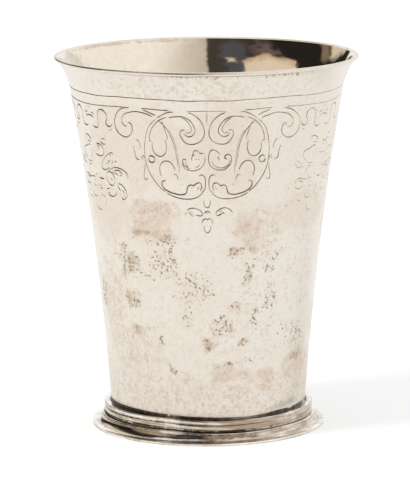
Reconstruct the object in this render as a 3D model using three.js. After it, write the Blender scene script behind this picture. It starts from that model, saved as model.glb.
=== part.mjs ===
// A footed silver beaker: a tapered, concave wall with a flared lip, a let-in base disc,
// a drawn reeded collar round the foot of the wall and a spreading foot flange,
// all joined with hard solder. Millimetres, +Z up, origin on the table under the axis.
import * as THREE from "three";

// Wall and lip
const HEIGHT = 105; // table to the top of the rim
const MOUTH_RADIUS = 42.6; // outermost edge of the lip
const LIP_HEIGHT = 9; // rise of the flared lip above its neck
const LIP_OVERHANG = 4.35; // how far the lip's edge stands out beyond its neck
const WALL_FOOT_RADIUS = 27.3; // outside of the wall at its lower edge
const WALL_BOW = 1.2; // how far the middle of the wall is drawn in from a straight cone
const WALL_THICKNESS = 0.8; // square to the surface
const RIM_BEAD_RADIUS = 0.55; // thickened edge of the lip

// Base disc, let into the wall
const BASE_THICKNESS = 0.9;
const BASE_RISE = 1.4; // underside of the disc above the wall's lower edge

// Reeded collar, a drawn moulding bent round the foot of the wall
const COLLAR_WIDTH = 2.2; // wall to the crest of the reeds
const COLLAR_NECK_HEIGHT = 0.35; // plain recess under the reeds
const LOWER_REED_HEIGHT = 1.45;
const UPPER_REED_HEIGHT = 1.25;
const REED_DEPTH = 0.42; // crest to the neck under the reeds
const REED_GROOVE_DEPTH = 0.14; // crest to the groove between the reeds
const REED_SQUARENESS = 3.4; // 2 is an ellipse, and more gives a flatter face with tighter corners

// Foot flange
const FLANGE_HEIGHT = 2.8; // table to the land that carries the wall and the collar
const FLANGE_SPREAD = 3.35; // how far the flange stands out beyond the collar
const FLANGE_EDGE_HEIGHT = 0.65; // upright outer edge
const FLANGE_RIM_WIDTH = 0.25; // flat rim between the slope and that edge
const FLANGE_THICKNESS = 1;
const FLANGE_LEDGE = 1.3; // how far the land reaches in under the wall
const TREAD_WIDTH = 1.3; // flat ring that stands on the table
const FLANGE_BEAD_RADIUS = 0.3; // small bead between the land and the slope
const LAND_MARGIN = 0.35; // land left between the collar and that bead

// Solder joints
const JOINT_GAP = 0.03; // capillary gap between neighbouring pieces
const SEAM_THICKNESS = 0.24; // solder between the flange and what stands on it
const SEAM_RECESS = 0.45; // how far the seam stays back from the collar's neck
const BASE_FILLET_LEG = 0.8;
const COLLAR_FILLET_LEG = 0.8;

// Facets
const RADIAL_SEGMENTS = 64;
const WALL_STEPS = 9;
const LIP_STEPS = 6;
const ROUND_STEPS = 6;

// Radii and heights that follow from the sizes above
const NECK_RADIUS = MOUTH_RADIUS - LIP_OVERHANG;
const NECK_Z = HEIGHT - LIP_HEIGHT;
const COLLAR_RADIUS = WALL_FOOT_RADIUS + COLLAR_WIDTH;
const COLLAR_NECK_RADIUS = COLLAR_RADIUS - REED_DEPTH;
const FLANGE_RADIUS = COLLAR_RADIUS + FLANGE_SPREAD;
const SEAM_Z = FLANGE_HEIGHT + JOINT_GAP;
const WALL_FOOT_Z = SEAM_Z + SEAM_THICKNESS + JOINT_GAP;
const BASE_Z = WALL_FOOT_Z + BASE_RISE;
const BASE_TOP_Z = BASE_Z + BASE_THICKNESS;
const LOWER_REED_Z = WALL_FOOT_Z + COLLAR_NECK_HEIGHT;
const UPPER_REED_Z = LOWER_REED_Z + LOWER_REED_HEIGHT;
const COLLAR_TOP_Z = UPPER_REED_Z + UPPER_REED_HEIGHT;
const FILLET_Z = COLLAR_TOP_Z + JOINT_GAP;
const FILLET_TOP_Z = FILLET_Z + COLLAR_FILLET_LEG;

// Finishes
const wornSilver = { color: 0xe3d9cc, roughness: 0.38, metalness: 1 };
const polishedSilver = { color: 0xd8cdbd, roughness: 0.2, metalness: 1 };
const tarnishedSolder = { color: 0x5a5044, roughness: 0.5, metalness: 1 };

const point = (radius, z) => new THREE.Vector2(radius, z);

// Evenly spaced values from start to end, both included.
function span(start, end, steps) {
  return Array.from({ length: steps + 1 }, (_, i) => THREE.MathUtils.lerp(start, end, i / steps));
}

// Points on an ellipse, or on a squarer oval, about a centre, between two angles in degrees.
function ellipseArc(centre, radiusR, radiusZ, fromDegrees, toDegrees, squareness = 2) {
  const squared = (share) => Math.sign(share) * Math.abs(share) ** (2 / squareness);
  return span(fromDegrees, toDegrees, ROUND_STEPS).map((degrees) => {
    const angle = THREE.MathUtils.degToRad(degrees);
    const outward = radiusR * squared(Math.cos(angle));
    const upward = radiusZ * squared(Math.sin(angle));
    return point(centre.x + outward, centre.y + upward);
  });
}

// Turns a profile of (radius, z) points about +Z. The points run anticlockwise, up the outside
// and down the inside, so that the faces point out. A profile off the axis is closed on itself.
function turned(name, finish, profile) {
  const points = profile[0].x > 0 ? [...profile, profile[0].clone()] : profile;
  const geometry = new THREE.LatheGeometry(points, RADIAL_SEGMENTS);
  geometry.rotateX(Math.PI / 2);
  const mesh = new THREE.Mesh(geometry, new THREE.MeshStandardMaterial(finish));
  mesh.name = name;
  return mesh;
}

// Slope of the wall at the neck, as radius gained per unit of height.
function neckSlope() {
  return (NECK_RADIUS - WALL_FOOT_RADIUS + 4 * WALL_BOW) / (NECK_Z - WALL_FOOT_Z);
}

// Outside of the wall: a parabola from its foot to the neck, then the flare of the lip,
// which leaves the neck without a kink and reaches the mouth radius at the full height.
function wallOuterRadius(z) {
  if (z <= NECK_Z) {
    const share = (z - WALL_FOOT_Z) / (NECK_Z - WALL_FOOT_Z);
    const straight = THREE.MathUtils.lerp(WALL_FOOT_RADIUS, NECK_RADIUS, share);
    return straight - 4 * WALL_BOW * share * (1 - share);
  }
  const rise = z - NECK_Z;
  const flare = LIP_OVERHANG - neckSlope() * LIP_HEIGHT;
  return NECK_RADIUS + neckSlope() * rise + flare * (rise / LIP_HEIGHT) ** 2;
}

// Inside of the wall, the thickness being measured square to the surface.
function wallInnerRadius(z) {
  const step = 0.01;
  const slope = (wallOuterRadius(z + step) - wallOuterRadius(z - step)) / (2 * step);
  return wallOuterRadius(z) - WALL_THICKNESS * Math.hypot(1, slope);
}

// Tapered wall with its flared lip and thickened rim. The facets outside also break
// at the top of the collar and of its solder, so that those fit against flat facets.
function cupWall() {
  const bead = point(MOUTH_RADIUS - RIM_BEAD_RADIUS, HEIGHT - RIM_BEAD_RADIUS);
  const lipTopOutside = HEIGHT - 2.4 * RIM_BEAD_RADIUS;
  const lipTopInside = HEIGHT - 0.7 * RIM_BEAD_RADIUS;
  const outside = [
    WALL_FOOT_Z,
    COLLAR_TOP_Z,
    ...span(FILLET_TOP_Z, NECK_Z, WALL_STEPS),
    ...span(NECK_Z, lipTopOutside, LIP_STEPS).slice(1),
  ].map((z) => point(wallOuterRadius(z), z));
  const inside = [
    ...span(lipTopInside, NECK_Z, LIP_STEPS),
    ...span(NECK_Z, WALL_FOOT_Z, WALL_STEPS).slice(1),
  ].map((z) => point(wallInnerRadius(z), z));
  const rim = ellipseArc(bead, RIM_BEAD_RADIUS, RIM_BEAD_RADIUS, -60, 120);
  return turned("cup_wall", wornSilver, [...outside, ...rim, ...inside]);
}

// Flat disc that closes the wall, its edge following the taper inside the wall.
function baseDisc() {
  return turned("base_disc", polishedSilver, [
    point(0, BASE_Z),
    point(wallInnerRadius(BASE_Z) - JOINT_GAP, BASE_Z),
    point(wallInnerRadius(BASE_TOP_Z) - JOINT_GAP, BASE_TOP_Z),
    point(0, BASE_TOP_Z),
  ]);
}

// Solder fillet under the disc, in the corner that it makes with the wall.
function baseSolder() {
  const leg = Math.min(BASE_FILLET_LEG, BASE_RISE); // no lower than the wall
  const topZ = BASE_Z - JOINT_GAP;
  const bottomZ = topZ - leg;
  const wallSide = (z) => wallInnerRadius(z) - JOINT_GAP;
  const centre = point(wallSide(topZ) - leg, bottomZ);
  const reach = wallSide(bottomZ) - centre.x;
  return turned("base_solder_fillet", tarnishedSolder, [
    point(wallSide(topZ), topZ),
    ...ellipseArc(centre, reach, leg, 90, 0),
  ]);
}

// Drawn moulding of two flat-faced reeds, with a shallow groove between them, over a plain neck.
// It is bored to the taper of the wall.
function reededCollar() {
  const grooveShare = 1 - REED_GROOVE_DEPTH / REED_DEPTH;
  const grooveAngle = THREE.MathUtils.radToDeg(Math.acos(grooveShare ** (REED_SQUARENESS / 2)));
  const reed = (z, height) => {
    const centre = point(COLLAR_NECK_RADIUS, z + height / 2);
    return ellipseArc(centre, REED_DEPTH, height / 2, -grooveAngle, grooveAngle, REED_SQUARENESS);
  };
  const bore = (z) => point(wallOuterRadius(z) + JOINT_GAP, z);
  return turned("reeded_collar", polishedSilver, [
    point(COLLAR_NECK_RADIUS, WALL_FOOT_Z),
    point(COLLAR_NECK_RADIUS, LOWER_REED_Z),
    ...reed(LOWER_REED_Z, LOWER_REED_HEIGHT),
    ...reed(UPPER_REED_Z, UPPER_REED_HEIGHT),
    point(COLLAR_NECK_RADIUS, COLLAR_TOP_Z),
    bore(COLLAR_TOP_Z),
    bore(WALL_FOOT_Z),
  ]);
}

// Hollow solder fillet between the top of the collar and the wall.
function collarSolder() {
  const wallSide = (z) => wallOuterRadius(z) + JOINT_GAP;
  const centre = point(wallSide(FILLET_Z) + COLLAR_FILLET_LEG, FILLET_TOP_Z);
  const reach = centre.x - wallSide(FILLET_TOP_Z);
  return turned("collar_solder_fillet", tarnishedSolder, [
    point(wallSide(FILLET_Z), FILLET_Z),
    ...ellipseArc(centre, reach, COLLAR_FILLET_LEG, 270, 180),
  ]);
}

// Flat ring of solder between the flange's land and the wall and collar that stand on it.
function flangeSolder() {
  const outer = COLLAR_NECK_RADIUS - SEAM_RECESS;
  const inner = wallInnerRadius(WALL_FOOT_Z);
  const topZ = SEAM_Z + SEAM_THICKNESS;
  return turned("flange_solder_seam", tarnishedSolder, [
    point(outer, SEAM_Z),
    point(outer, topZ),
    point(inner, topZ),
    point(inner, SEAM_Z),
  ]);
}

// Spreading foot: a flat land, a small bead, a hollowed slope, a flat rim and an upright
// edge, hollow underneath so that it stands on a narrow tread.
function footFlange() {
  const boreRadius = wallInnerRadius(WALL_FOOT_Z) - FLANGE_LEDGE;
  const landRadius = COLLAR_RADIUS + LAND_MARGIN;
  const undersideZ = FLANGE_HEIGHT - FLANGE_THICKNESS;
  const slopeTopZ = FLANGE_HEIGHT - FLANGE_BEAD_RADIUS;
  const slopeStart = landRadius + FLANGE_BEAD_RADIUS;
  const slopeEnd = FLANGE_RADIUS - FLANGE_RIM_WIDTH;
  const slopeCentre = point(slopeEnd, slopeTopZ);
  const bead = point(landRadius, slopeTopZ);
  return turned("foot_flange", polishedSilver, [
    point(boreRadius, undersideZ),
    point(landRadius - FLANGE_THICKNESS, undersideZ),
    point(FLANGE_RADIUS - TREAD_WIDTH, 0),
    point(FLANGE_RADIUS, 0),
    point(FLANGE_RADIUS, FLANGE_EDGE_HEIGHT),
    ...ellipseArc(slopeCentre, slopeEnd - slopeStart, slopeTopZ - FLANGE_EDGE_HEIGHT, 270, 180),
    ...ellipseArc(bead, FLANGE_BEAD_RADIUS, FLANGE_BEAD_RADIUS, 0, 90).slice(1),
    point(boreRadius, FLANGE_HEIGHT),
  ]);
}

const beaker = new THREE.Group();
beaker.name = "silver_beaker";
beaker.add(
  cupWall(),
  baseDisc(),
  baseSolder(),
  reededCollar(),
  collarSolder(),
  flangeSolder(),
  footFlange(),
);

export default beaker;
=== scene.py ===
"""Looks of a footed silver beaker, in metres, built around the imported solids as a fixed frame.

The wall is cut with a band of scroll ornament and mottled with old tarnish. A reeded collar and
a spreading flange make its foot. -Y faces the viewer, +X is to the right and +Z is up.
"""

import math

import bmesh
import bpy
import numpy as np
from mathutils import Matrix, Vector
from mathutils.geometry import delaunay_2d_cdt


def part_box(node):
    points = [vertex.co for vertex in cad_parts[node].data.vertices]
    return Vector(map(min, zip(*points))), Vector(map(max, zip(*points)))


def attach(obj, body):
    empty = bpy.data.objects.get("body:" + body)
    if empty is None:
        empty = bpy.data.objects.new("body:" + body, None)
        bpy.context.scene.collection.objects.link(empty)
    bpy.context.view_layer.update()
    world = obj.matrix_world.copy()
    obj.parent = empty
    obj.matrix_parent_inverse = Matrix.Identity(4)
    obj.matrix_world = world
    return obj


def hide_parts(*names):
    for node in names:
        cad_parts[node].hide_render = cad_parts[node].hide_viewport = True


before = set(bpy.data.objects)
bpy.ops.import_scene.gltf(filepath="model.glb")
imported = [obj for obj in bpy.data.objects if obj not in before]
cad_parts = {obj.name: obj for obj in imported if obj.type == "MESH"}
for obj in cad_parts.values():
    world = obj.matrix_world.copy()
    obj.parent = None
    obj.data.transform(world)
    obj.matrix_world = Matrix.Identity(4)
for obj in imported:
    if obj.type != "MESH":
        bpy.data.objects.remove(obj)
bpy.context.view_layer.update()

MM = 0.001
FULL_TURN = 2 * math.pi

# Sizes of the solids that stand in the frame
wall_low, wall_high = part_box("cup_wall")
disc_low, disc_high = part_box("base_disc")
_, collar_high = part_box("reeded_collar")
seam_low, seam_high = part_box("flange_solder_seam")
_, flange_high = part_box("foot_flange")
collar_fillet_low, collar_fillet_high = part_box("collar_solder_fillet")
base_fillet_low, base_fillet_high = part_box("base_solder_fillet")

HEIGHT = wall_high.z
MOUTH_RADIUS = wall_high.x
WALL_FOOT_Z = wall_low.z
COLLAR_RADIUS = collar_high.x
FLANGE_RADIUS = flange_high.x
FLANGE_HEIGHT = flange_high.z

# Sizes that the boxes don't give, as in the part's source
LIP_HEIGHT = 9 * MM
LIP_OVERHANG = 4.35 * MM
WALL_BOW = 1.2 * MM
WALL_THICKNESS = 0.8 * MM
RIM_BEAD_RADIUS = 0.55 * MM
COLLAR_WIDTH = 2.2 * MM
COLLAR_NECK_HEIGHT = 0.35 * MM
LOWER_REED_HEIGHT = 1.45 * MM
REED_DEPTH = 0.42 * MM
REED_GROOVE_DEPTH = 0.14 * MM
REED_SQUARENESS = 3.4
FLANGE_EDGE_HEIGHT = 0.65 * MM
FLANGE_RIM_WIDTH = 0.25 * MM
FLANGE_THICKNESS = 1 * MM
FLANGE_LEDGE = 1.3 * MM
TREAD_WIDTH = 1.3 * MM
FLANGE_BEAD_RADIUS = 0.3 * MM
LAND_MARGIN = 0.35 * MM
JOINT_GAP = 0.03 * MM
EDGE_ROUND = 0.12 * MM

NECK_Z = HEIGHT - LIP_HEIGHT
NECK_RADIUS = MOUTH_RADIUS - LIP_OVERHANG
WALL_FOOT_RADIUS = COLLAR_RADIUS - COLLAR_WIDTH
COLLAR_NECK_RADIUS = COLLAR_RADIUS - REED_DEPTH
UNDER_COLLAR_RADIUS = 0.5 * (WALL_FOOT_RADIUS + COLLAR_NECK_RADIUS)
WALL_RUN = NECK_Z - WALL_FOOT_Z
NECK_SLOPE = (NECK_RADIUS - WALL_FOOT_RADIUS + 4 * WALL_BOW) / WALL_RUN
LIP_FLARE = LIP_OVERHANG - NECK_SLOPE * LIP_HEIGHT

# Fineness of the meshes
TURN_STEPS = 360
ROUND_STEPS = 12
LIP_STEPS = 16
INNER_LIP_STEPS = 22
INNER_WALL_STEPS = 47
OUTER_WALL_STEPS = 37
DISC_RINGS = 12
SHARP_CORNER = math.radians(28)
SHARP_CUT = math.radians(12)
WELD = 3e-6
SLIVER = 1e-7

# The engraved band and the graver that cut it
BAND_LOW = 57 * MM
BAND_HIGH = 99 * MM
HALF_MOTIF_DEGREES = 60
MOTIFS = 3
PLANE_MM_PER_DEGREE = 0.628
GRAVER_SLOPE = 0.75
STROKE_STEP_MM = 0.3
STROKE_TAPER_MM = 0.9
LONGEST_TAPER_SHARE = 0.45
BROAD = 0.46
PLAIN = 0.37
FINE = 0.29
HAIRLINE = 0.22
WAVER_ANGLE = math.radians(0.5)
WAVER_HEIGHT = 0.3 * MM
WAVER_SIZE = 9 * MM
WAVER_MARGIN_SHARE = 0.25

# The plain ground between the strokes: rows of points up the motif's two sides, and a grid in mm
EDGE_ROWS = 29
GROUND_STEP = 1.5
GROUND_START = 1.2
GROUND_END = 0.8
GROUND_CLEARANCE = 0.6
SAME_POINT = 1e-5


def wall_radius(z):
    """Outside of the wall: a parabola up to the neck, then the flare of the lip."""
    share = (z - WALL_FOOT_Z) / WALL_RUN
    straight = WALL_FOOT_RADIUS + (NECK_RADIUS - WALL_FOOT_RADIUS) * share
    below = straight - 4 * WALL_BOW * share * (1 - share)
    rise = z - NECK_Z
    above = NECK_RADIUS + NECK_SLOPE * rise + LIP_FLARE * (rise / LIP_HEIGHT) ** 2
    return np.where(z <= NECK_Z, below, above)


def wall_slope(z):
    """Radius that the outside of the wall gains per unit of height."""
    step = 0.01 * MM
    return (wall_radius(z + step) - wall_radius(z - step)) / (2 * step)


def wall_inner_radius(z):
    """Inside of the wall, its thickness being measured square to the surface."""
    return wall_radius(z) - WALL_THICKNESS * np.hypot(1, wall_slope(z))


# The engraving

# A side of the motif runs from its middle line, at 0 degrees, to the middle of a flower drop, at 60.
# A stroke is its width in mm and the points it passes, as degrees and height in mm. Most strokes are
# cut on both sides alike. The side volutes, leaves and flower drops were cut freehand, so each side
# has its own.
RING_LINES = [
    (FINE, [(0, 96.9), (9, 96.8), (17, 97), (27, 97.05), (38, 97.1), (48, 96.8), (60, 96.7)]),
    (HAIRLINE, [(0, 94), (4, 94), (8.6, 93.9)]),
    (PLAIN, [(15.5, 94.1), (20, 94.15), (24, 94.3), (28.4, 94.35)]),
    (FINE, [(34.5, 94.35), (42, 94.2), (50, 94), (60, 93.8)]),
    (HAIRLINE, [(0.25, 93.9), (0.2, 93.2), (0.2, 91.8), (0.2, 90.3)]),
]
MIDDLE_VOLUTE = [
    (PLAIN, [(8, 93.7), (6, 93.2), (4.2, 92.4), (2.6, 91.3), (1.5, 89.9), (1, 88.4), (1.2, 87),
             (2.2, 85.9), (4, 85.1), (6.2, 84.75), (8.2, 84.9), (9.8, 85.6), (10.9, 86.7),
             (11.4, 87.7), (10.9, 88.5), (9.9, 88.8), (9.1, 88.4)]),
    (PLAIN, [(16.3, 92), (13.5, 92.4), (10.6, 92.5), (8.3, 92), (6.5, 91), (5.3, 89.7), (4.9, 88.5),
             (5.4, 87.6), (6.6, 87), (8, 86.95), (9.2, 87.4), (9.8, 88.1)]),
    (FINE, [(10.6, 92.2), (9.2, 91.8), (7.9, 91), (6.9, 90), (6.4, 89.1), (6.7, 88.3), (7.6, 87.95),
            (8.6, 88.05), (9.2, 88.5)]),
]
OVAL_STRAP = [
    (PLAIN, [(13.6, 93.6), (15.5, 93.65), (17.5, 93.2), (19.6, 92.5), (21.6, 91.6)]),
    (FINE, [(21.6, 91.6), (23.6, 90.5), (25.2, 89.3), (26.4, 87.7), (27.2, 86), (27.8, 84.2),
            (28.1, 82.2), (28, 80), (27.4, 78), (26.2, 76.1), (24.4, 74.3), (22, 72.5), (19, 71)]),
    (PLAIN, [(19, 71), (16, 70.1), (13, 69.6), (10, 69.4), (7.2, 69.45), (5, 69.8), (3.2, 70.5),
             (1.6, 71.4)]),
    (PLAIN, [(16.8, 92.2), (18.9, 91.7), (20.6, 91.1), (22.2, 90.2), (23.6, 89.1), (24.7, 87.7),
             (25.2, 86.5), (25.1, 85.4), (24.1, 85.3)]),
]
CROSSING_STRAP = [
    (FINE, [(20.8, 91.2), (19, 90.2), (17.2, 88.9), (15.8, 87.3), (14.7, 85.5), (13.9, 83.6),
            (13.4, 81.6), (13, 79.6), (12.8, 78)]),
    (HAIRLINE, [(16.4, 88.9), (15, 87.2), (13.9, 85.3), (13.2, 83.3), (12.7, 81.3), (12.4, 79.3),
                (12.3, 77.6), (12.7, 76.3)]),
    (FINE, [(19.4, 91.4), (18.5, 89.7), (17.8, 88.1), (17.1, 86.9), (17, 86.2), (17.8, 85.6)]),
    (PLAIN, [(21.4, 92.4), (23.4, 93), (25.4, 93.5), (27.6, 94)]),
]
LEFT_SIDE_VOLUTE = [
    (PLAIN, [(33.6, 94.3), (36, 94.2), (38.3, 93.7), (40.3, 92.7), (41.8, 91.3), (42.6, 89.7),
             (42.3, 88.1), (41, 86.8), (39, 86.1), (37, 85.9), (35.2, 86.4), (33.8, 87.4),
             (33.2, 88.6), (33.7, 89.7), (34.8, 90.1), (35.6, 89.7)]),
    (PLAIN, [(23, 92.1), (25.5, 92.8), (28.5, 93.25), (31.5, 93.3), (34.5, 92.95), (36.8, 92.3),
             (38.2, 91.3), (38.4, 90.2), (37.6, 89.3), (36.4, 89), (35.7, 89.5)]),
]
RIGHT_SIDE_VOLUTE = [
    (PLAIN, [(33.3, 94.1), (36.6, 93.7), (38.7, 93.2), (40.4, 92.5), (41.8, 91.7), (42.8, 90.8),
             (43.3, 89.8), (43.3, 88.9), (43, 88), (42.6, 87.2), (41.8, 86.5), (40.7, 86),
             (39.3, 85.6), (37.3, 85.5), (35.9, 85.8), (34.6, 86.4), (33.8, 87), (33.5, 87.7),
             (33.7, 88.7), (34.1, 89.3), (34.9, 89.7), (36.3, 89.7)]),
    (PLAIN, [(23.2, 91.5), (24.7, 92), (27.1, 92.4), (28.7, 92.7), (30.2, 92.85), (32.3, 92.8),
             (34.2, 92.6), (35.7, 92.4), (37.1, 91.9), (38.4, 91.3), (39.2, 90.5), (39.4, 89.8),
             (39.1, 89.2), (38.3, 88.6), (36.7, 88.4), (36, 88.6)]),
    (BROAD, [(36.1, 89.6), (35.6, 89.2), (35.9, 88.6)]),
]
LEAVES_IN_OVAL = [
    (PLAIN, [(18.4, 86), (18, 85.4), (17.6, 84.3), (17.8, 83), (18.4, 82), (19.4, 81.4),
             (20.7, 81.15), (22, 81.4), (23.2, 82), (24, 83), (24.2, 84.2), (23.9, 85.3)]),
    (PLAIN, [(14.2, 77.2), (14.8, 78.3), (15.8, 79.3), (17.2, 79.9), (18.8, 79.9), (20.2, 79.4),
             (21.2, 78.5), (21.5, 77.3), (21.2, 76.2), (20.8, 75.4)]),
    (FINE, [(15.4, 75.8), (14.6, 76.15), (13.8, 76), (13.2, 75.3), (13, 74.3)]),
    (BROAD, [(18.6, 74.3), (19.6, 74.3), (20.6, 74), (20.8, 73.2), (20, 72.2), (18, 71.4),
             (15.5, 70.9), (13, 70.6), (11, 70.65), (9.6, 71.05), (9.1, 71.9), (8.8, 72.8),
             (7.9, 73.25), (6.8, 73.3), (6, 73.15), (5, 73.7), (3.8, 74), (2.8, 73.7), (2.5, 72.9),
             (2.7, 72.2), (3.3, 71.6)]),
    (FINE, [(3.4, 73.1), (3.9, 72.5), (4.7, 71.9)]),
    (FINE, [(6.5, 72.6), (7.3, 72.45)]),
    (FINE, [(11.1, 73.5), (11.8, 73.4)]),
    (PLAIN, [(4, 75.75), (2.9, 76.2), (1.9, 76.05), (1.1, 75.5), (0.8, 74.5), (0.8, 73.2),
             (1.1, 72.2), (1.9, 71.5), (3, 71.3)]),
]
LEFT_INNER_LEAF = [
    (FINE, [(1, 81.9), (0.8, 80.7), (1.3, 79.4), (2.6, 78.3), (4.4, 77.6), (6.6, 77.3), (8.8, 77.6),
            (10.4, 78.2), (11.3, 79.3)]),
    (PLAIN, [(1, 82), (1.9, 82.4), (3, 82.2), (3.6, 82.7), (4.7, 83.1), (5.8, 82.8), (6.1, 81.9),
             (6.7, 80.9), (6.5, 79.9)]),
    (BROAD, [(8.8, 80.3), (9.8, 80.6), (10.6, 80.3), (10.7, 79.5), (10.1, 78.7), (9, 78.3),
             (7.6, 77.6)]),
    (FINE, [(8.9, 80.2), (9.4, 79.6), (9, 78.8), (7.9, 78.4)]),
    (FINE, [(3, 79.3), (3.9, 78.6), (5.4, 78.1)]),
    (BROAD, [(5.9, 82), (5.5, 81.6)]),
    (PLAIN, [(3.7, 80.9), (3.4, 80.2)]),
    (FINE, [(5.3, 80.4), (4.2, 80.7)]),
]
RIGHT_INNER_SCROLL = [
    (PLAIN, [(5.7, 81.5), (5.2, 82.3), (3.9, 82.9), (2.6, 83.2), (1.5, 82.9), (0.9, 81.9),
             (0.7, 80.5), (1.1, 79.3), (2.2, 78.3), (3.8, 77.7), (6, 77.5), (7.9, 77.7),
             (9.5, 78.5), (10.6, 79.4), (10.9, 80.4), (10.5, 81.4), (9.6, 81.8), (8.5, 81.8),
             (7.8, 81.4)]),
    (FINE, [(2.2, 80.4), (2.6, 79.4), (4, 78.5), (5.9, 78.1), (7.9, 78.3), (9.5, 79), (10.1, 80),
            (10.1, 80.9)]),
    (BROAD, [(9.3, 80.7), (8.3, 80.6), (7.8, 81), (8.3, 81.6), (9.5, 81.8)]),
    (PLAIN, [(4.4, 81.5), (5.2, 80.8), (5.3, 79.9)]),
    (BROAD, [(1.5, 82.9), (2.4, 83.1)]),
]
HUSK_PENDANT = [
    (PLAIN, [(1.3, 69.3), (1.5, 68.5), (1.2, 67.6), (0.7, 67.1), (0, 66.95)]),
    (BROAD, [(1.4, 65.1), (1.1, 65.6), (0.5, 65.8), (0, 65.85)]),
    (FINE, [(0.6, 65.3), (0, 65.3)]),
    (PLAIN, [(0, 63.5), (0.6, 63.75), (1.4, 63.7), (2.2, 63.3), (2.5, 62.7), (2.3, 62.2)]),
    (PLAIN, [(1.6, 62.1), (1.6, 61.2), (1.3, 60.5), (0.7, 60), (0, 59.85)]),
]
LEFT_HUSK_LEAF = [
    (PLAIN, [(9.7, 65.9), (8.5, 66.6), (6.6, 66.8), (4.5, 66.5), (2.9, 65.9), (2.2, 65),
             (2.9, 64.6), (4.3, 64.7), (6, 64.9)]),
    (PLAIN, [(10.4, 64.7), (9.6, 65.8)]),
    (PLAIN, [(9.3, 65.9), (8.2, 65.2), (6.2, 64.2)]),
    (FINE, [(8.5, 66.3), (7.5, 65.5), (5.9, 64.8)]),
]
RIGHT_HUSK_LEAF = [
    (PLAIN, [(3.8, 64.9), (4.5, 65.9), (5.9, 66.5), (7.8, 66.9), (9.7, 66.6), (11.1, 66),
             (12.1, 65.1)]),
    (BROAD, [(3.8, 64.9), (5, 64.7), (6.4, 65.1), (7.3, 65.7)]),
    (BROAD, [(7.1, 65.7), (7.6, 65.3), (8.3, 64.9)]),
    (FINE, [(5, 65.7), (6.2, 65.9), (7.1, 65.7)]),
]
BEAD_DEGREES = 24.9
BEAD_HEIGHT = 80.3
BEAD_HALF_DEGREES = 1.5
BEAD_HALF_HEIGHT = 0.94
BEAD_START = 0.4
BEAD_POINTS = 13
BEAD_AND_TENDRILS = [
    (BROAD, [(BEAD_DEGREES + BEAD_HALF_DEGREES * math.cos(a),
              BEAD_HEIGHT + BEAD_HALF_HEIGHT * math.sin(a))
             for a in np.linspace(BEAD_START, BEAD_START + FULL_TURN, BEAD_POINTS)]),
    (FINE, [(28.2, 80.1), (28.6, 80.9), (29.3, 81.1), (29.8, 80.6), (29.4, 80.1), (28.8, 80.3)]),
    (PLAIN, [(30.6, 80.1), (31.6, 79.9), (32.6, 80.3), (33, 81.2), (33.2, 82.3), (33.7, 83.3)]),
    (FINE, [(29.8, 82.8), (30.1, 84), (30.8, 85.2), (31.7, 85.5), (31.9, 84.8)]),
    (BROAD, [(33.2, 83.2), (33.9, 83.5)]),
    (FINE, [(28.5, 79.2), (28.6, 77.8), (29.2, 76.2), (29.5, 75.1), (28.8, 74.4), (27.8, 74.6),
            (27.5, 75.3)]),
]
OMEGA_SCROLL = [
    (BROAD, [(43.7, 89.4), (44.9, 88.7), (46.2, 88.3), (47.5, 88.6), (48.2, 89.3), (47.5, 90.2),
             (47, 91.2), (47.6, 92.1), (49, 92.7), (50.6, 92.85), (52.2, 92.5), (53.2, 91.6),
             (53.4, 90.3), (53.3, 89), (53.9, 87.9), (55.2, 87.5), (56.8, 87.6), (58.2, 88.2)]),
    (PLAIN, [(55.9, 90.9), (57.4, 91.6), (58.9, 91.2)]),
    (PLAIN, [(56.5, 90), (57.8, 90.5), (60, 90.7)]),
    (FINE, [(59.8, 93.6), (59.2, 92.9), (58.8, 92.2)]),
    (FINE, [(44.6, 87.6), (45.8, 87.4), (47.2, 86.9)]),
]
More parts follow.
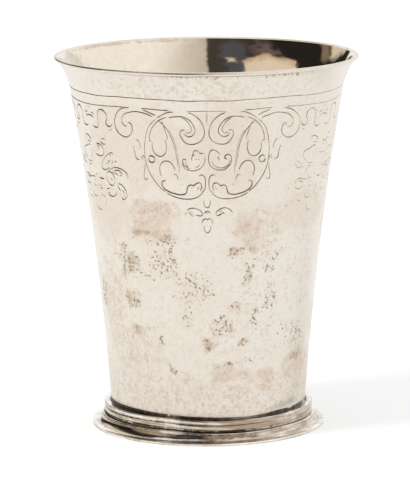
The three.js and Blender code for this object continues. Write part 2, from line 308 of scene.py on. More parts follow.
LEFT_FLOWER_DROP = [
    (PLAIN, [(53.5, 84.2), (51.7, 84.6), (50, 84.4)]),
    (PLAIN, [(54.5, 83.7), (53, 83.3), (51.5, 83), (49.9, 83.3)]),
    (PLAIN, [(58, 82.9), (56.2, 82.9), (54.6, 82.8), (53.1, 82.3), (52.4, 81.4), (52.4, 80.6),
             (53.2, 79.9), (54.8, 79.5), (56.6, 79.4), (58.2, 79.6), (59.4, 79.8)]),
    (PLAIN, [(57.5, 82.8), (56, 82.4), (55.2, 81.9), (55.4, 81.4)]),
    (FINE, [(57.5, 82.4), (56.7, 81.6), (56.6, 80.7)]),
    (PLAIN, [(46.3, 80.1), (46.1, 80.6), (47.1, 80.8), (48.9, 80.5), (50.8, 79.8), (52.8, 78.9),
             (54.4, 77.8), (55.4, 76.8), (55.3, 76), (54.3, 75.7), (52.8, 75.7), (51.1, 76.1),
             (48.8, 76.6)]),
    (PLAIN, [(48.7, 80.3), (47.8, 80), (47.7, 79.6)]),
    (BROAD, [(50.4, 78.1), (48.6, 78.5)]),
    (BROAD, [(47.8, 78), (46.5, 78.2)]),
    (BROAD, [(45.5, 78.5), (44.1, 78.5)]),
    (FINE, [(51.8, 77.5), (49.5, 77.8)]),
    (PLAIN, [(47.1, 79), (46.7, 78.5)]),
    (PLAIN, [(48.2, 77.3), (47.7, 77)]),
    (PLAIN, [(52.3, 74.9), (50.2, 75.7), (47.9, 76.4), (45.9, 76.8), (44, 76.8), (41.9, 76.6),
             (40, 76.1), (38.7, 75.4), (38.5, 74.5), (38.9, 73.7)]),
    (PLAIN, [(48.4, 75.6), (47.3, 75.2), (46.4, 74.7)]),
    (PLAIN, [(46.2, 75.9), (46.1, 75.2), (45.1, 74.9), (44.1, 74.5)]),
    (PLAIN, [(47.1, 75.8), (45.4, 76), (43.6, 76.1), (42.5, 75.7), (42, 75.2), (42.5, 74.7),
             (43.7, 74.6)]),
    (PLAIN, [(52.9, 74.3), (52.3, 74.9), (50.6, 75.3), (49.1, 75.2), (47.7, 74.6), (47, 73.6),
             (47.1, 72.7), (48.1, 71.9), (49.7, 71.5), (51.2, 71.8), (52.3, 72.5), (52.8, 73.5),
             (52.9, 74.3)]),
    (BROAD, [(49.7, 73.6), (48.9, 73.2), (49.1, 72.6)]),
    (BROAD, [(58.8, 73.6), (58.4, 73.1), (56.2, 72.9), (54.5, 73.1)]),
    (BROAD, [(59.3, 71), (57.9, 70.8)]),
    (BROAD, [(59.4, 70.1), (58.3, 70.1), (57.2, 70.3)]),
    (BROAD, [(55.5, 71.2), (54.9, 70.8)]),
    (PLAIN, [(54.4, 70.3), (52.5, 70.4), (50.9, 70.7)]),
    (BROAD, [(52.8, 69.3), (51.6, 69.2)]),
    (PLAIN, [(53.4, 69.4), (52.8, 68.7), (51.3, 68.4), (49.4, 68.4), (47.7, 68.9), (46.6, 69.7),
             (46.3, 70.3)]),
    (PLAIN, [(45.3, 72.3), (43.4, 72.2), (42, 71.7), (40.8, 70.9), (40.2, 69.9), (40.2, 69.1),
             (41.2, 68.3), (42.6, 67.9)]),
    (PLAIN, [(45.2, 72.2), (45.2, 71.4), (44.5, 70.7), (43.6, 70.1)]),
    (FINE, [(43.3, 70.8), (42.3, 70.4), (41.8, 69.8), (41.7, 69), (42.2, 68.3)]),
    (BROAD, [(43.8, 68.4), (43, 68), (41.9, 67.9)]),
    (FINE, [(55.9, 67.8), (55.8, 66.8), (56.7, 65.7), (57.8, 64.6)]),
    (BROAD, [(59.4, 68.4), (58.2, 68.2)]),
    (FINE, [(57.9, 68.2), (56.1, 67.7)]),
]
RIGHT_FLOWER_DROP = [
    (PLAIN, [(53.5, 83.5), (52.8, 84.4), (53.7, 84.9), (55.4, 84.7), (57.5, 84.1), (58.8, 83.2)]),
    (FINE, [(53.9, 83.4), (55, 83), (56.7, 82.9), (58.2, 83.1)]),
    (FINE, [(55.8, 83.8), (57.3, 83.4)]),
    (PLAIN, [(57, 81.8), (55.3, 82.1), (53.7, 81.8), (51.9, 81.4), (49.9, 81.1), (48.3, 80.7),
             (47.8, 80.1), (48.5, 79.2), (49.8, 78.4), (50.9, 77.7)]),
    (FINE, [(57.4, 81.6), (57.9, 80.8), (57.3, 79.8), (56.4, 79.1), (55.5, 78.7)]),
    (BROAD, [(55.6, 79.1), (55.4, 78.2)]),
    (FINE, [(51.2, 77.5), (53.4, 77.2), (55.4, 77.2), (56.5, 77.7)]),
    (PLAIN, [(43.6, 78.3), (43.3, 77.7), (44.4, 76.8), (45.9, 76.3), (47.1, 76.4), (47.2, 77),
             (46.5, 77.7), (45.2, 78.2), (43.6, 78.3)]),
    (FINE, [(44.4, 77.8), (45.3, 77.1)]),
    (PLAIN, [(47.6, 76.3), (48.9, 76.5)]),
    (PLAIN, [(50.8, 74.3), (51.4, 74.9), (51.7, 75.7), (52.8, 76.3), (54.9, 76.4)]),
    (FINE, [(58, 74), (58.7, 73.9), (59.4, 73.7)]),
    (BROAD, [(52.5, 74.6), (52.9, 73.6)]),
    (FINE, [(55.2, 73.5), (56.5, 72.8)]),
    (PLAIN, [(56.7, 72.8), (54, 73), (52.4, 72.7), (50.7, 72.8), (48.5, 73.2), (46.7, 73.3),
             (45.1, 73), (44.4, 72.4), (44.8, 71.8)]),
    (PLAIN, [(50.5, 72), (48.8, 72.3), (47.4, 72.6), (46.2, 72.4)]),
    (PLAIN, [(44.8, 71.7), (44.6, 71.2), (45.7, 70.6), (47.3, 70.3), (48.7, 70.6), (50.2, 71.2)]),
    (FINE, [(54.7, 72.2), (56.3, 71.7)]),
    (BROAD, [(54.7, 70.8), (56.6, 70.3)]),
    (FINE, [(58, 71.2), (59.1, 70.4)]),
    (FINE, [(52.9, 68.7), (52.3, 68.4), (52.7, 67.6), (54.7, 67.3), (56.5, 67.6), (56.2, 68.4)]),
    (PLAIN, [(39.8, 70.6), (40.8, 71.1)]),
    (FINE, [(46.8, 68.8), (48.2, 68.3)]),
    (FINE, [(46.7, 67.4), (48.5, 66.7), (50.4, 66.9)]),
    (PLAIN, [(43.8, 67.4), (45, 66.9)]),
    (PLAIN, [(39.2, 66.3), (40.7, 65.6)]),
    (FINE, [(53.6, 66.2), (54.1, 65.1), (55.3, 64.2), (57.4, 63.7), (59.4, 63.7)]),
]
BOTH_SIDES = (RING_LINES + MIDDLE_VOLUTE + OVAL_STRAP + CROSSING_STRAP + LEAVES_IN_OVAL + HUSK_PENDANT
              + BEAD_AND_TENDRILS + OMEGA_SCROLL)
LEFT_SIDE = BOTH_SIDES + LEFT_SIDE_VOLUTE + LEFT_INNER_LEAF + LEFT_HUSK_LEAF + LEFT_FLOWER_DROP
RIGHT_SIDE = BOTH_SIDES + RIGHT_SIDE_VOLUTE + RIGHT_INNER_SCROLL + RIGHT_HUSK_LEAF + RIGHT_FLOWER_DROP


# Node trees
class Wires:
    """Adds nodes to one tree. Each socket is given a plain value or another node's output."""

    def __init__(self, tree):
        self.tree = tree

    def node(self, kind, inputs=None, **settings):
        made = self.tree.nodes.new(kind)
        for name, value in settings.items():
            setattr(made, name, value)
        for key, value in (inputs or {}).items():
            self.feed(made.inputs[key], value)
        return made

    def feed(self, socket, value):
        if isinstance(value, bpy.types.NodeSocket):
            self.tree.links.new(value, socket)
        else:
            socket.default_value = value

    def math(self, operation, *values):
        made = self.node("ShaderNodeMath", operation=operation)
        for socket, value in zip(made.inputs, values):
            self.feed(socket, value)
        return made.outputs[0]

    def plus(self, first, second):
        return self.math("ADD", first, second)

    def minus(self, first, second):
        return self.math("SUBTRACT", first, second)

    def times(self, first, second):
        return self.math("MULTIPLY", first, second)

    def over(self, first, second):
        return self.math("DIVIDE", first, second)

    def ramp(self, value, low, high, to_low=0.0, to_high=1.0):
        """Smooth step from to_low, at low, to to_high, at high."""
        made = self.node("ShaderNodeMapRange", interpolation_type="SMOOTHSTEP")
        for socket, given in zip(made.inputs, (value, low, high, to_low, to_high)):
            self.feed(socket, given)
        return made.outputs[0]

    def blend(self, share, first, second):
        """Colour that goes from first, at share 0, to second, at share 1."""
        made = self.node("ShaderNodeMix", data_type="RGBA")
        self.feed(made.inputs[0], share)
        self.feed(made.inputs[6], first)
        self.feed(made.inputs[7], second)
        return made.outputs[2]

    def vector(self, operation, first, second):
        made = self.node("ShaderNodeVectorMath", operation=operation)
        self.feed(made.inputs[0], first)
        key = "Scale" if operation == "SCALE" else 1
        self.feed(made.inputs[key], second)
        return made.outputs[0]

    def noise(self, vector, scale, detail=4.0, roughness=0.55, output="Fac"):
        made = self.node("ShaderNodeTexNoise", {
            "Vector": vector, "Scale": scale, "Detail": detail, "Roughness": roughness})
        return made.outputs[output]


def new_tree(name, kind, inputs, outputs):
    """A node group with named sockets, and the wires, input node and output node to fill it."""
    tree = bpy.data.node_groups.new(name, kind)
    for in_out, sockets in (("INPUT", inputs), ("OUTPUT", outputs)):
        for socket_name, socket_type in sockets:
            tree.interface.new_socket(socket_name, in_out=in_out, socket_type=socket_type)
    wires = Wires(tree)
    return tree, wires, wires.node("NodeGroupInput"), wires.node("NodeGroupOutput")


def shaded(wires, geometry, sharp_angle):
    """Smooth faces, with a crease wherever two meet at more than the given angle."""
    smooth = wires.node("GeometryNodeSetShadeSmooth", {"Geometry": geometry}, domain="FACE")
    angle = wires.node("GeometryNodeInputMeshEdgeAngle").outputs["Unsigned Angle"]
    crease = wires.math("GREATER_THAN", angle, sharp_angle)
    return wires.node("GeometryNodeSetShadeSmooth", {
        "Geometry": smooth.outputs[0], "Selection": crease, "Shade Smooth": False},
        domain="EDGE").outputs[0]


def finished(wires, geometry, given, result):
    """Ends a tree: plain geometry with its finish."""
    real = wires.node("GeometryNodeRealizeInstances", {"Geometry": geometry})
    dressed = wires.node("GeometryNodeSetMaterial", {
        "Geometry": real.outputs[0], "Material": given.outputs["Finish"]})
    wires.feed(result.inputs["Geometry"], dressed.outputs[0])


def attribute(wires, name):
    return wires.node("GeometryNodeInputNamedAttribute", {"Name": name}, data_type="FLOAT").outputs[0]


def around(wires, radius, angle, z):
    """Point at an angle round the axis, 0 being towards the viewer."""
    across = wires.times(radius, wires.math("SINE", angle))
    back = wires.times(radius, wires.math("COSINE", angle))
    towards = wires.times(back, -1.0)
    return wires.node("ShaderNodeCombineXYZ", {"X": across, "Y": towards, "Z": z}).outputs[0]


def turning_tree():
    """Turns a profile of points about the axis, and carries its recess and inside values along."""
    tree, wires, given, result = new_tree("turned profile", "GeometryNodeTree", [
        ("Profile", "NodeSocketGeometry"), ("Segments", "NodeSocketInt"),
        ("Sharp Angle", "NodeSocketFloat"), ("Weld", "NodeSocketFloat"),
        ("Finish", "NodeSocketMaterial")], [("Geometry", "NodeSocketGeometry")])
    profile = given.outputs["Profile"]
    segments = given.outputs["Segments"]
    count = wires.node("GeometryNodeAttributeDomainSize", {"Geometry": profile}).outputs["Point Count"]
    grid = wires.node("GeometryNodeMeshGrid", {
        "Size X": 1.0, "Size Y": 1.0, "Vertices X": wires.plus(segments, 1.0),
        "Vertices Y": count})
    index = wires.node("GeometryNodeInputIndex").outputs[0]
    column = wires.math("FLOOR", wires.over(wires.plus(index, 0.5), count))
    row = wires.minus(index, wires.times(column, count))
    angle = wires.times(wires.over(column, segments), FULL_TURN)

    def sampled(value, data_type):
        return wires.node("GeometryNodeSampleIndex", {
            "Geometry": profile, "Value": value, "Index": row}, data_type=data_type).outputs[0]

    place = wires.node("GeometryNodeInputPosition").outputs[0]
    point = wires.node("ShaderNodeSeparateXYZ", {"Vector": sampled(place, "FLOAT_VECTOR")})
    geometry = grid.outputs["Mesh"]
    for name in ("recess", "inside"):
        geometry = wires.node("GeometryNodeStoreNamedAttribute", {
            "Geometry": geometry, "Name": name, "Value": sampled(attribute(wires, name), "FLOAT")},
            data_type="FLOAT", domain="POINT").outputs[0]
    placed = wires.node("GeometryNodeSetPosition", {
        "Geometry": geometry,
        "Position": around(wires, point.outputs["X"], angle, point.outputs["Z"])})
    welded = wires.node("GeometryNodeMergeByDistance", {
        "Geometry": placed.outputs[0], "Distance": given.outputs["Weld"]})
    finished(wires, shaded(wires, welded.outputs[0], given.outputs["Sharp Angle"]), given, result)
    return tree


def wrapping_tree():
    """Repeats a motif round the wall and wraps it on, with a hand's slight waver."""
    tree, wires, given, result = new_tree("wrapped engraving", "GeometryNodeTree", [
        ("Motif", "NodeSocketGeometry"), ("Motifs", "NodeSocketInt"),
        ("Waver Angle", "NodeSocketFloat"), ("Waver Height", "NodeSocketFloat"),
        ("Waver Size", "NodeSocketFloat"), ("Band Low", "NodeSocketFloat"),
        ("Band High", "NodeSocketFloat"), ("Sharp Angle", "NodeSocketFloat"),
        ("Weld", "NodeSocketFloat"), ("Finish", "NodeSocketMaterial")],
        [("Geometry", "NodeSocketGeometry")])
    spacing = wires.over(FULL_TURN, given.outputs["Motifs"])
    offset = wires.node("ShaderNodeCombineXYZ", {"X": spacing}).outputs[0]
    starts = wires.node("GeometryNodeMeshLine", {"Count": given.outputs["Motifs"], "Offset": offset})
    copies = wires.node("GeometryNodeInstanceOnPoints", {
        "Points": starts.outputs[0], "Instance": given.outputs["Motif"]})
    flat = wires.node("GeometryNodeRealizeInstances", {"Geometry": copies.outputs[0]}).outputs[0]

    place = wires.node("ShaderNodeSeparateXYZ", {
        "Vector": wires.node("GeometryNodeInputPosition").outputs[0]})
    angle = place.outputs["X"]
    z = place.outputs["Z"]
    radius = attribute(wires, "wall_radius")
    scale = wires.over(1.0, given.outputs["Waver Size"])
    drift = wires.noise(around(wires, radius, angle, z), scale, detail=1.0, output="Color")
    drift = wires.node("ShaderNodeSeparateXYZ", {"Vector": drift})
    margin = wires.times(given.outputs["Waver Size"], WAVER_MARGIN_SHARE)
    low = given.outputs["Band Low"]
    high = given.outputs["Band High"]
    window = wires.times(wires.ramp(z, low, wires.plus(low, margin)),
                         wires.ramp(z, wires.minus(high, margin), high, 1.0, 0.0))

    def wavered(component, amount):
        centred = wires.minus(drift.outputs[component], 0.5)
        return wires.times(wires.times(centred, amount), window)

    lift = wavered("Y", given.outputs["Waver Height"])
    radius = wires.math("MULTIPLY_ADD", attribute(wires, "wall_slope"), lift, radius)
    radius = wires.minus(radius, attribute(wires, "cut"))
    wrapped = around(
        wires, radius, wires.plus(angle, wavered("X", given.outputs["Waver Angle"])),
        wires.plus(z, lift))
    placed = wires.node("GeometryNodeSetPosition", {"Geometry": flat, "Position": wrapped})
    welded = wires.node("GeometryNodeMergeByDistance", {
        "Geometry": placed.outputs[0], "Distance": given.outputs["Weld"]})
    finished(wires, shaded(wires, welded.outputs[0], given.outputs["Sharp Angle"]), given, result)
    return tree


def grown(name, mesh, tree, values):
    """Runs a tree on a mesh, with its inputs given by name, and returns the plain mesh."""
    source = bpy.data.objects.new(name + "_source", mesh)
    bpy.context.collection.objects.link(source)
    modifier = source.modifiers.new(tree.name, "NODES")
    modifier.node_group = tree
    for item in tree.interface.items_tree:
        if item.in_out == "INPUT" and item.name in values:
            modifier[item.identifier] = values[item.name]
    depsgraph = bpy.context.evaluated_depsgraph_get()
    made = bpy.data.meshes.new_from_object(
        source.evaluated_get(depsgraph), preserve_all_data_layers=True, depsgraph=depsgraph)
    source.modifiers.remove(modifier)
    bpy.data.objects.remove(source)
    bpy.data.meshes.remove(mesh)
    made.name = name
    return made


# Surface effects, each one a group that several finishes share
NOISE_SPREAD = 0.065


def surface_millimetres(wires, shift):
    """Object coordinates in millimetres, moved by a shift, so that patterns differ."""
    place = wires.node("ShaderNodeTexCoord").outputs["Object"]
    return wires.vector("ADD", wires.vector("SCALE", place, 1 / MM), shift)


def levelled(wires, cloud):
    """Noise brought to a mean of 0 and a spread of about 1."""
    return wires.over(wires.minus(cloud, 0.5), NOISE_SPREAD)


def scatter_group():
    """Uneven values in ragged patches of a size in mm."""
    tree, wires, given, result = new_tree("tarnish scatter", "ShaderNodeTree", [
        ("Patch Size", "NodeSocketFloat"), ("Detail", "NodeSocketFloat"),
        ("Shift", "NodeSocketVector")], [("Value", "NodeSocketFloat")])
    place = surface_millimetres(wires, given.outputs["Shift"])
    scale = wires.over(1.0, given.outputs["Patch Size"])
    cloud = wires.noise(place, scale, detail=given.outputs["Detail"], roughness=0.68)
    wires.feed(result.inputs["Value"], levelled(wires, cloud))
    return tree


def polish_group():
    """Fine lines that rubbing round the piece has left."""
    tree, wires, given, result = new_tree("polishing lines", "ShaderNodeTree", [
        ("Line Size", "NodeSocketFloat"), ("Stretch", "NodeSocketFloat")],
        [("Value", "NodeSocketFloat")])
    place = surface_millimetres(wires, (0.0, 0.0, 0.0))
    split = wires.node("ShaderNodeSeparateXYZ", {"Vector": place})
    shrink = wires.over(1.0, given.outputs["Stretch"])
    squeezed = wires.node("ShaderNodeCombineXYZ", {
        "X": wires.times(split.outputs["X"], shrink),
        "Y": wires.times(split.outputs["Y"], shrink),
        "Z": split.outputs["Z"]}).outputs[0]
    scale = wires.over(1.0, given.outputs["Line Size"])
    lines = wires.noise(squeezed, scale, detail=3.0, roughness=0.6)
    wires.feed(result.inputs["Value"], levelled(wires, lines))
    return tree


def reach_group():
    """Distance from the middle of one mark, 1 being at its edge. Its lean is in mm per degree."""
    tree, wires, given, result = new_tree("mark reach", "ShaderNodeTree", [
        ("Angle", "NodeSocketFloat"), ("Height", "NodeSocketFloat"),
        ("Half Angle", "NodeSocketFloat"), ("Half Height", "NodeSocketFloat"),
        ("Lean", "NodeSocketFloat")], [("Value", "NodeSocketFloat")])
    place = surface_millimetres(wires, (0.0, 0.0, 0.0))
    split = wires.node("ShaderNodeSeparateXYZ", {"Vector": place})
    degrees = wires.math("DEGREES", wires.math(
        "ARCTAN2", split.outputs["X"], wires.times(split.outputs["Y"], -1.0)))
    aside = wires.minus(degrees, given.outputs["Angle"])
    across = wires.over(aside, given.outputs["Half Angle"])
    middle = wires.math("MULTIPLY_ADD", aside, given.outputs["Lean"], given.outputs["Height"])
    up = wires.over(wires.minus(split.outputs["Z"], middle), given.outputs["Half Height"])
    squared = wires.math("MULTIPLY_ADD", up, up, wires.times(across, across))
    wires.feed(result.inputs["Value"], wires.math("SQRT", squared))
    return tree


SCATTER = scatter_group()
POLISH = polish_group()
REACH = reach_group()


def effect(wires, tree, **values):
    """One of the effects above, placed in a finish with its own values."""
    made = wires.node("ShaderNodeGroup", node_tree=tree)
    for key, value in values.items():
        wires.feed(made.inputs[key.replace("_", " ").title()], value)
    return made.outputs["Value"]


def new_finish(name):
    """An empty finish: its wires and its one shader, already joined to the output."""
    made = bpy.data.materials.new(name)
    made.use_nodes = True
    made.node_tree.nodes.clear()
    wires = Wires(made.node_tree)
    shader = wires.node("ShaderNodeBsdfPrincipled")
    output = wires.node("ShaderNodeOutputMaterial")
    wires.feed(output.inputs["Surface"], shader.outputs[0])
    return made, wires, shader


def surface_value(wires, name):
    return wires.node("ShaderNodeAttribute", attribute_name=name).outputs["Fac"]


def dented(wires, shader, height, distance):
    bump = wires.node("ShaderNodeBump", {"Strength": 1.0, "Distance": distance, "Height": height})
    wires.feed(shader.inputs["Normal"], bump.outputs[0])


# Finishes
CLEAN_SILVER = (0.79, 0.74, 0.66, 1)
INNER_SILVER = (0.885, 0.80, 0.675, 1)
FOOT_SILVER = (0.93, 0.89, 0.83, 1)
BEIGE_TARNISH = (0.66, 0.485, 0.355, 1)
GRAIN_BROWN = (0.53, 0.40, 0.325, 1)
KHAKI_TARNISH = (0.40, 0.31, 0.215, 1)
RUST_TARNISH = (0.40, 0.265, 0.145, 1)
CUT_TARNISH = (0.335, 0.235, 0.15, 1)
BROWN_TARNISH = (0.25, 0.19, 0.125, 1)
DARK_TARNISH = (0.06, 0.045, 0.033, 1)
SMEAR_GREY = (0.36, 0.33, 0.29, 1)
SOLDER_GREY = (0.34, 0.30, 0.25, 1)
FULL_CUT_DEPTH = 0.08 * MM
HAMMERING_DEPTH = 0.06 * MM
STREAK_DEPTH = 0.001 * MM
SOLDER_GRAIN_DEPTH = 0.004 * MM

# Marks of age and of painted light, each as angle, height in mm, half its spread in degrees, half its
# height in mm and lean
GRAINY_AREAS = [
    (-45, 26, 22, 10, 0), (0, 8, 400, 14, 0), (50, 45, 24, 17, 0), (-50, 50, 12, 9, 0),
    (6, 31, 15, 6, 0), (22, 46, 8, 12, 0), (-62, 38, 14, 14, 0), (28, 60, 14, 8, 0),
    (32, 40, 17, 17, 0), (-8, 100, 54, 4.5, 0)]
# Painted light: a clearer right side, lighter to make up for the shadowed floor it mirrors
WALL_PAINTED_LIGHT = [(46, 43, 30, 17, 0)]
DULL_AREAS = [
    (-45, 24, 23, 9, 0), (0, 8, 400, 12, 0), (-34, 84, 28, 13, 0), (9, 84, 17, 14, 0),
    (-28, 63, 14, 6, 0), (-55, 64, 20, 9, 0), (52, 64, 20, 6, 0), (-60, 36, 11, 13, 0),
    (26, 61, 13, 7, 0)]
BEIGE_STAINS = [
    (-27, 65.5, 11.3, 3.2, 0), (-28, 62.6, 10, 3, 0), (-28.8, 60.2, 12.1, 2.6, 0),
    (-18.8, 66.2, 2.7, 1.9, 0), (-20.7, 59.8, 3.6, 2.3, 0), (18.7, 60, 7, 4.8, 0),
    (0.8, 27.7, 5.7, 2.8, 0), (34.4, 17.4, 7.5, 3.4, 0), (59, 21, 14, 4.5, 0),
    (18.9, 38.2, 9.8, 1.7, 0), (10.7, 19.6, 12.6, 3.4, 0), (-40.5, 31.5, 6.2, 1.8, 0)]
RUST_PATCHES = [
    (-41.5, 50.5, 6.2, 3.7, -0.1), (-44.1, 40.2, 5.6, 2.5, -0.2), (15.5, 54.3, 5, 1.5, 0),
    (20.8, 47, 1.8, 2.2, 0), (19.5, 28.5, 3, 1.8, 0), (58, 22, 8, 2, 0), (12.1, 32.3, 1.4, 1.4, 0),
    (-20.5, 58.4, 5, 1.2, 0), (0, 27.6, 4.4, 2.4, 0), (-21, 21, 2.4, 1.3, -0.5),
    (-32, 59.2, 7, 1, 0), (-41, 31.5, 3, 1.4, 0)]
SPECK_CLUSTERS = [
    (-22.6, 51.1, 7, 4, 0), (-15.1, 46.3, 6.5, 1.8, -0.45), (-9.1, 42.7, 5.2, 4.4, 0),
    (-1.4, 43.3, 3.4, 3.2, 0), (33, 51.2, 7, 3.2, 0), (34, 42.5, 4.6, 3.5, 0),
    (22.1, 50.2, 3.8, 2, 0), (33.2, 38.4, 3.4, 1, 0.12), (24.9, 34, 3.8, 1.9, 0),
    (35, 32.1, 2.3, 3.5, 0), (-10.5, 35, 3.4, 2.4, 0), (7, 33.5, 5.5, 2.2, 0),
    (-30.5, 31.6, 4.1, 1.1, -0.12), (-25.7, 28.5, 1.8, 2.7, 0), (-21, 21.5, 3.6, 1.2, -0.55),
    (54, 29, 9, 3.5, 0), (-41.5, 50, 6.6, 3.8, -0.1), (-44.1, 39.8, 5.4, 2.5, -0.2),
    (-45.3, 55, 2.6, 1.3, 0), (15.5, 54.3, 5.5, 1.6, 0), (20.8, 46.6, 1.8, 2.4, 0),
    (19.5, 28.4, 2.2, 1.2, 0), (0, 27.7, 4.4, 2, 0), (-24, 57.2, 9, 1, 0), (-72.5, 38.5, 5, 6, 0),
    (14, 39, 2.5, 0.8, 0), (27, 37, 3, 0.6, 0), (13, 22.4, 10, 0.7, 0.06), (28, 103.5, 14, 0.6, 0),
    (-5, 103.6, 15, 0.45, 0)]
GREY_SMEARS = [(51, 8.6, 12, 1.4, 0.05)]
FLANGE_MARKS = [
    (1, 1.5, 3, 0.7, 0), (9, 1.7, 5, 0.4, 0), (17.2, 1.9, 4.5, 0.45, 0), (24.8, 1.75, 4, 0.6, 0),
    (-14, 2.3, 12, 0.35, 0), (-50, 2.6, 24, 0.5, 0)]
# Rubbed bright places, partly real wear and partly painted highlight where the collar and bead catch
# light
FOOT_RUBBED_AND_HIGHLIT = [
    (-21, 4.5, 6, 3, 0), (-40, 6.4, 30, 0.9, 0), (-46, 1.2, 44, 0.75, 0)]
# Painted highlight: a bright spot on the flange's bead, in clean silver and rougher
FOOT_PAINTED_HIGHLIGHT = [(-19, 3.1, 8, 0.7, 0)]
FOOT_BROWNED = [(35, 4.9, 60, 1.4, 0)]
# Painted light: the foot's right half is lighter, with less tarnish and grime in its hollows
FOOT_PAINTED_LIGHT = [(75, 4, 60, 40, 0)]
# Rubbed places on the solder, partly real wear and partly a painted highlight
SOLDER_RUBBED_AND_HIGHLIT = [(-20.5, 6.5, 5, 2, 0), (76, 6.5, 4, 2, 0)]
SOLDER_GREYED = [(22, 6.5, 10, 2, 0)]
# Painted light: the seam is lightened on both sides of the foot, away from the front
SEAM_PAINTED_LIGHT = [(75, 3, 60, 1.8, 0), (-75, 3.4, 55, 1.8, 0)]
INNER_STAINS = [(-108, 99, 9, 6, 0), (-142, 104.3, 34, 0.5, 0)]
FAINT_CUTS = [(75, 85, 40, 40, 0)]
SEEN_SIDE = [(0, 50, 66, 1000, 0)]


def weighed(wires, total, *terms):
    """A total plus each value times its weight."""
    for value, weight in terms:
        total = wires.math("MULTIPLY_ADD", value, weight, total)
    return total


def nearest_mark(wires, marks):
    """Distance to the nearest of several marks, 1 being at its edge."""
    nearest = None
    for angle, height, half_angle, half_height, lean in marks:
        reach = effect(wires, REACH, angle=float(angle), height=float(height),
                       half_angle=float(half_angle), half_height=float(half_height), lean=float(lean))
        nearest = reach if nearest is None else wires.math("MINIMUM", nearest, reach)
    return nearest


def frayed(wires, marks, full, none, *fraying):
    """1 within the nearest mark, up to reach full, and 0 from reach none, with its edge frayed."""
    return wires.ramp(weighed(wires, nearest_mark(wires, marks), *fraying), full, none, 1.0, 0.0)


